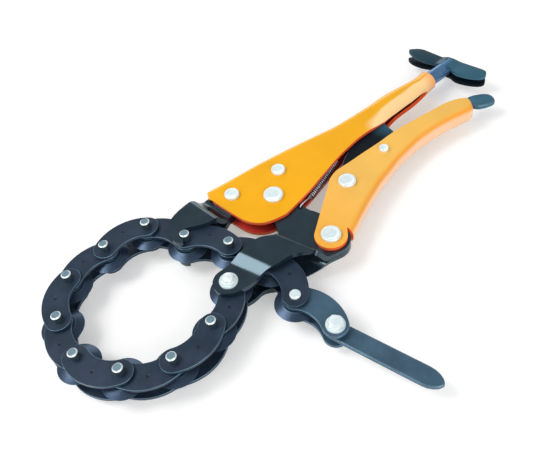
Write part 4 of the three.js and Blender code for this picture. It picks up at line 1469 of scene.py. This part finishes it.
class CUTTER_OT_plates(bpy.types.Operator):
    """Forms the jaws, the strap, the toggle link and the release lever."""

    bl_idname = "cutter.plates"
    bl_label = "Jaws, strap and inner levers"

    def execute(self, context):
        finish = finishes(context)
        sizes = context.scene.cutter_plates
        # The rounded rims of the plates get the painted highlight steel
        rim = finish["worn"]
        for name, side, shape in (
            ("moving_jaw", "upper", self.moving_jaw(sizes, *REAR_BENDS["upper"])),
            ("moving_jaw", "lower", self.moving_jaw(sizes, *REAR_BENDS["lower"])),
            ("fixed_jaw", "upper", self.fixed_jaw(sizes)),
            ("fixed_jaw", "lower", self.fixed_jaw(sizes)),
        ):
            outline, lean, profile = shape
            node = f"{name}_{side}"
            holes = [arc(SPRING_HOLE, 0.0013, 0, 337.5, 15)] if name == "moving_jaw" else []
            made = bent_sheet(
                f"{node}_bent", outline, lean, profile, sizes.sheet, side == "lower",
                sizes.rounding, finish["jaw"], rim, holes,
            )
            put(made, "black_steel", node)
        for node, outline, paint, slot, rounding in (
            ("strap", self.strap(sizes), "strap", "black_steel", 0.0007),
            ("toggle_link", self.toggle(sizes), "toggle", "black_steel", 0.0005),
            ("release_lever", self.release(), "teal", "teal_steel", 0.0008),
        ):
            low, high = level(node, 0), level(node, 1)
            made = sheet_piece(f"{node}_cut", outline, low, high, finish[paint], rim, rounding)
            put(made, slot, node)
        return {"FINISHED"}

    def strap(self, sizes):
        """Outline of the pull strap, hanging from its bolt."""
        pin = (PINS[-1] - MAIN_PIVOT).to_2d()
        half, reach = sizes.strap_half, sizes.strap_length
        tip = scaled(STRAP_TIP, reach, half)
        outline = [
            *arc((0, 0), half, 90, 270, 16), *tip, (reach, 0),
            *[(x, -y) for x, y in reversed(tip)],
        ]
        turn = Matrix.Rotation(STRAP_HEADING, 2)
        return [tuple(turn @ Vector(point) + pin) for point in outline]

    def toggle(self, sizes):
        """Outline of the toggle link, from its pivot to the nose that meets the screw."""
        pivot = middle("rivet_toggle") - MAIN_PIVOT
        release = middle("rivet_release") - MAIN_PIVOT
        reach, rise, nose = sizes.toggle_length, sizes.toggle_rise, sizes.toggle_nose
        return softened([
            *arc(pivot, sizes.toggle_round, 125, 285, 16),
            (release.x - 0.0058, release.y + 0.004),
            *scaled(TOGGLE_UNDER, reach, rise, pivot),
            *arc((pivot.x + reach - nose, pivot.y + rise), nose, -20, 100, 8),
            *scaled(TOGGLE_TOP, reach, rise, pivot),
        ])

    def release(self):
        """Outline of the release lever, as long and as deep as its CAD solid."""
        pivot = middle("rivet_release")
        low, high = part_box("release_lever")
        reach, fall = high.x - pivot.x, pivot.y - low.y
        outline = scaled(RELEASE_OUTLINE, reach, -fall, pivot - MAIN_PIVOT)
        return softened(outline, 0.006, 0.002)

    def moving_jaw(self, sizes, run, soft):
        """The outline of a plate, whose rear bend has the run and softness given."""
        anchor = PINS[0] - MAIN_PIVOT
        lever = MAIN_TO_LEVER
        reach, drop = anchor.x, lever.y
        outline = [
            *arc((0, 0), sizes.pivot_round, -30, 190, 22),
            *scaled(JAW_TOP, reach, drop),
            *arc(anchor, sizes.anchor_round, 70, 200, 14),
            *scaled(JAW_CHIN, reach, drop),
            *arc(lever, sizes.lever_round, 250, 372, 14),
            *scaled(JAW_BACK, reach, drop),
        ]
        across = Vector((math.cos(JAW_LEAN), math.sin(JAW_LEAN), 0))
        ear = anchor.dot(across) + EAR_REACH
        tang = (lever - Vector((TANG_REACH, 0, 0))).dot(across)
        ear_top = level("anchor_bolt", 1) - sizes.bolt_stand
        flare = -level("moving_jaw_lower", 0)
        profile = [
            (-1, ear_top, 0), (ear, ear_top, EAR_SOFT), (ear + EAR_RUN, flare, EAR_SOFT),
            (tang - run, flare, soft), (tang, sizes.tang, soft), (1, sizes.tang, 0),
        ]
        return softened(outline), JAW_LEAN, profile

    def fixed_jaw(self, sizes):
        """The outline of a plate, which bends between its cheek and its tang."""
        reach, rise = (PINS[0] - MAIN_PIVOT).x, sizes.cheek
        hook = PINS[9] - MAIN_PIVOT
        rivet = middle("rivet_upper") - MAIN_PIVOT
        outline = [
            *scaled(CHEEK_TOP, reach, rise),
            *arc(hook, sizes.hook, 215, 65, 16),
            *scaled(CHEEK_CHIN, reach, rise),
            *scaled(TANG_CHIN, reach, rise),
            *arc(rivet, sizes.rivet_round, -80, 70, 10),
            *scaled(TANG_TOP, reach, rise),
        ]
        high = level("fixed_jaw_upper", 1)
        bend = hook.x + CHEEK_REACH
        profile = [
            (-1, high, 0), (bend, high, CHEEK_SOFT), (bend + CHEEK_RUN, sizes.tang, CHEEK_SOFT),
            (1, sizes.tang, 0),
        ]
        return softened(outline), 0, profile


# The cross handle, as shares of its width along the screw and of its reach across it
HANDLE_OUTLINE = (
    (0, 0.2), (-0.24, 0.47), (-0.23, 0.777), (0.02, 0.975), (0.175, 1), (0.7, 0.795),
    (1, -0.877), (0.815, -0.95), (0.495, -1), (0.175, -0.935), (-0.136, -0.7),
    (-0.29, -0.395), (0, -0.18),
)
HANDLE_WIDTH = 0.0103
HANDLE_REACH = 0.02775

# Rear end of the thread, from the main pivot
SCREW_END = Vector((0.1383, -0.0077, 0))

# How far the thread and the neck reach into each other
SCREW_OVERLAP = 0.0002


class CUTTER_OT_screw(bpy.types.Operator):
    """Forms the adjusting screw and its cross handle."""

    bl_idname = "cutter.screw"
    bl_label = "Adjusting screw"

    def execute(self, context):
        sizes = context.scene.cutter_screw
        finish = finishes(context)
        slope = sizes.slope
        end = MAIN_PIVOT + SCREW_END
        along = Vector((math.cos(slope), -math.sin(slope), 0))
        tilt = (0, math.pi / 2, -slope)
        neck, root = sizes.neck, sizes.radius - sizes.depth
        lip, cap = 0.0009, 0.0006
        collar = [
            (0, -SCREW_OVERLAP), (root, -SCREW_OVERLAP), (root, lip), (neck - cap, lip),
            (neck, lip + cap), (neck, sizes.neck_length), (0, sizes.neck_length),
        ]
        pitch = sizes.pitch
        parts = [
            turned("neck", collar, end, finish["blue"], 40, tilt),
            grow("thread", thread_tree(), bpy.data.meshes.new("thread"), {
                "Radius": sizes.radius, "Depth": sizes.depth, "Pitch": pitch,
                "Length": sizes.thread, "Rows": round(sizes.thread / pitch * 8) + 1, "Sides": 28,
                "Tilt": tilt, "Place": end - along * (sizes.thread - SCREW_OVERLAP),
                "Finish": finish["blue"],
            }),
        ]
        put(merged("adjusting_screw_turned", parts, 28), "teal_steel", "adjusting_screw")

        high = level("t_handle", 1)
        flat = high - 0.001
        handle_gap, stem_gap, stem_length = 0.0012, 0.0003, 0.0083
        centre = (end + along * (sizes.neck_length + handle_gap) - MAIN_PIVOT).to_2d()
        outline = scaled(HANDLE_OUTLINE, HANDLE_WIDTH, HANDLE_REACH, centre)
        crest, dip, rise = high - 0.0002, flat - 0.0009, flat + 0.0007
        knees = (
            (-1, flat), (-0.0072, flat), (-0.0028, crest), (0.0022, crest), (0.0058, dip),
            (0.028, rise), (1, rise),
        )
        profile = [(centre.y + place, height, 0.0014) for place, height in knees]
        wings = []
        for under in (False, True):
            # The upper wing has the handle's painted shade and the painted highlight on its rims;
            # the lower wing is painted dark all over as shade
            wings.append(bent_sheet(
                "wing", softened(outline, 0.0035, 0.0016), math.pi / 2, profile, 0.002, under,
                0.0006, finish["dark" if under else "handle"],
                finish["jaw" if under else "worn"],
            ))
        start = sizes.neck_length + stem_gap
        stop = start + stem_length
        stem = [(0, start), (neck, start), (neck, stop), (0, stop)]
        wings.append(turned("stem", stem, end, finish["blue"], 40, tilt))
        put(merged("t_handle_pressed", wings), "teal_steel", "t_handle")
        return {"FINISHED"}


class CUTTER_OT_spring(bpy.types.Operator):
    """Winds the return spring between the jaw and the body."""

    bl_idname = "cutter.spring"
    bl_label = "Return spring"

    def execute(self, context):
        sizes = context.scene.cutter_spring
        route, front, rear = self.route(sizes, context.scene.cutter_plates.tang)
        made = grow("spring_wound", wire_tree(), path_mesh(route), {
            "Wire radius": sizes.wire, "Sides": 8, "Finish": finishes(context)["wire"],
        })
        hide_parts("spring")
        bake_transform(made)
        return {"FINISHED"}

    def route(self, sizes, tang):
        """Points of the wire from the jaw's hole round the curls to the body's wall."""
        front, rear = MAIN_PIVOT + SPRING_HOLE, MAIN_PIVOT + SPRING_ANCHOR
        reach = (rear - front).length
        axis = (rear - front) / reach
        side = Vector((-axis.y, axis.x, 0))
        up = Vector((0, 0, 1))
        wire, coil, pitch, lead = sizes.wire, sizes.coil, sizes.pitch, sizes.lead
        wall, sheet = 0.00325, 0.002
        half = wall + sheet
        hook = tang + 0.00095

        def at(along, aside, rise):
            return front + axis * along + side * aside + up * rise

        route = [
            at(0, 0, -tang / 2), at(0, 0, tang / 2), at(0, 0, tang),
            at(wire, 0, hook - wire / 2), at(wire * 3, 0, hook),
            at(lead / 2, 0, (hook + coil) / 2), at(lead - pitch * 2, 0, coil),
        ]
        steps = 14
        for i in range(sizes.curls * steps + 1):
            turn = 2 * math.pi * i / steps
            along = lead + pitch * i / steps
            route.append(at(along, coil * math.sin(turn), coil * math.cos(turn)))
        end = lead + pitch * sizes.curls
        route += [
            at(end + pitch * 2, 0, coil), at((end + reach) / 2 + pitch, 0, 0),
            at(reach - wire, 0, wire * 2 - wall), at(reach, 0, -wall), at(reach, 0, wire - half),
        ]
        return route, front, rear


# Stage


# Angles of the camera in radians, its place from the main pivot in metres and its focal length
# in millimetres
CAMERA_TURN = 0.69171
CAMERA_FALL = 0.85395
CAMERA_ROLL = -0.17217
CAMERA_PLACE = (-0.16465, -0.19141, 0.27087)
CAMERA_LENS = 43.718
FLOOR_GLOW = 0.34
FLOOR_HALF = 3
WORLD = 0.46

# Each lamp's name, direction, distance, size and power
LAMPS = (
    ("key lamp", (-0.43, 0.41, 0.80), 1.15, 0.5, 6.3),
    ("rim lamp", (0.56, 0.75, 0.35), 1.3, 0.7, 3.5),
    ("fill lamp", (-0.3, -1.0, 0.5), 1.2, 0.9, 8.0),
    ("side lamp", (-0.91, 0.08, 0.40), 1.2, 0.2, 1.6),
)


class CUTTER_OT_stage(bpy.types.Operator):
    """Sets the floor, the lamps, the world and the camera."""

    bl_idname = "cutter.stage"
    bl_label = "Stage"

    def execute(self, context):
        scene = context.scene
        floor = bpy.data.meshes.new("floor")
        signs = ((-1, -1), (1, -1), (1, 1), (-1, 1))
        corners = [(x, y, 0) for x, y in scaled(signs, FLOOR_HALF, FLOOR_HALF)]
        floor.from_pydata(corners, [], [(0, 1, 2, 3)])
        made = linked("floor", floor)
        floor.materials.append(self.floor_finish())
        for name, heading, reach, size, power in LAMPS:
            self.lamp(name, Vector(heading).normalized() * reach, size, power)
        world = bpy.data.worlds.new("studio")
        world.use_nodes = True
        background = world.node_tree.nodes["Background"].inputs
        background["Color"].default_value = (1, 1, 1, 1)
        background["Strength"].default_value = WORLD
        scene.world = world
        scene.view_settings.view_transform = "Standard"
        self.camera(scene)
        return {"FINISHED"}

    def floor_finish(self):
        """Pale floor that looks a little brighter to the camera, so that it ends up white."""

        def build(graph, where, inputs):
            path = graph.node("ShaderNodeLightPath")
            seen = path + path.out("Is Glossy Ray") + path.out("Is Transmission Ray")
            glow = seen.clamp() * FLOOR_GLOW
            inputs["Emission Color"] = graph.vector(glow, glow, glow)

        return surface("floor", build, **{
            "Base Color": (0.72, 0.72, 0.72, 1), "Roughness": 0.9, "Emission Strength": 1.0,
        })

    def lamp(self, name, place, size, power):
        """A square lamp that faces the origin."""
        lamp = bpy.data.lights.new(name, "AREA")
        lamp.size = size
        lamp.energy = power
        made = linked(name, lamp)
        made.location = place
        made.rotation_euler = (-place).to_track_quat("-Z", "Y").to_euler()

    def camera(self, scene):
        """The camera at the photograph's viewing angle."""
        lens = bpy.data.cameras.new("camera")
        lens.lens = CAMERA_LENS
        made = linked("camera", lens)
        ahead = Vector((math.sin(CAMERA_TURN), math.cos(CAMERA_TURN), 0))
        level_right = Vector((ahead.y, -ahead.x, 0))
        fall, roll = CAMERA_FALL, CAMERA_ROLL
        level_up = ahead * math.sin(fall) + Vector((0, 0, math.cos(fall)))
        sight = ahead * math.cos(fall) - Vector((0, 0, math.sin(fall)))
        right = level_right * math.cos(roll) + level_up * math.sin(roll)
        up = level_up * math.cos(roll) - level_right * math.sin(roll)
        place = MAIN_PIVOT + Vector(CAMERA_PLACE)
        turn = Matrix((right, up, -sight)).transposed().to_4x4()
        made.matrix_world = Matrix.Translation(place) @ turn
        scene.camera = made


class CUTTER_PT_panel(bpy.types.Panel):
    """Sizes, colours and steps of the pipe cutter."""

    bl_idname = "CUTTER_PT_panel"
    bl_label = "Chain pipe cutter"
    bl_space_type = "VIEW_3D"
    bl_region_type = "UI"
    bl_category = "Pipe cutter"

    def draw(self, context):
        for step in STEPS:
            self.layout.operator(step.bl_idname)
        for name, group in PROPERTY_GROUPS.items():
            box = self.layout.box()
            for key in group.__annotations__:
                box.prop(getattr(context.scene, name), key)


STEPS = (
    CUTTER_OT_stage, CUTTER_OT_links, CUTTER_OT_wheels, CUTTER_OT_rivets, CUTTER_OT_bolts,
    CUTTER_OT_shells, CUTTER_OT_plates, CUTTER_OT_screw, CUTTER_OT_spring,
)


def register():
    for name, group in PROPERTY_GROUPS.items():
        bpy.utils.register_class(group)
        setattr(bpy.types.Scene, name, PointerProperty(type=group))
    for kind in (*STEPS, CUTTER_PT_panel):
        bpy.utils.register_class(kind)


def unregister():
    for kind in (CUTTER_PT_panel, *reversed(STEPS)):
        bpy.utils.unregister_class(kind)
    for name, group in PROPERTY_GROUPS.items():
        delattr(bpy.types.Scene, name)
        bpy.utils.unregister_class(group)


def main():
    register()
    for step in STEPS:
        group, name = step.bl_idname.split(".")
        getattr(getattr(bpy.ops, group), name)()


if __name__ == "__main__":
    main()
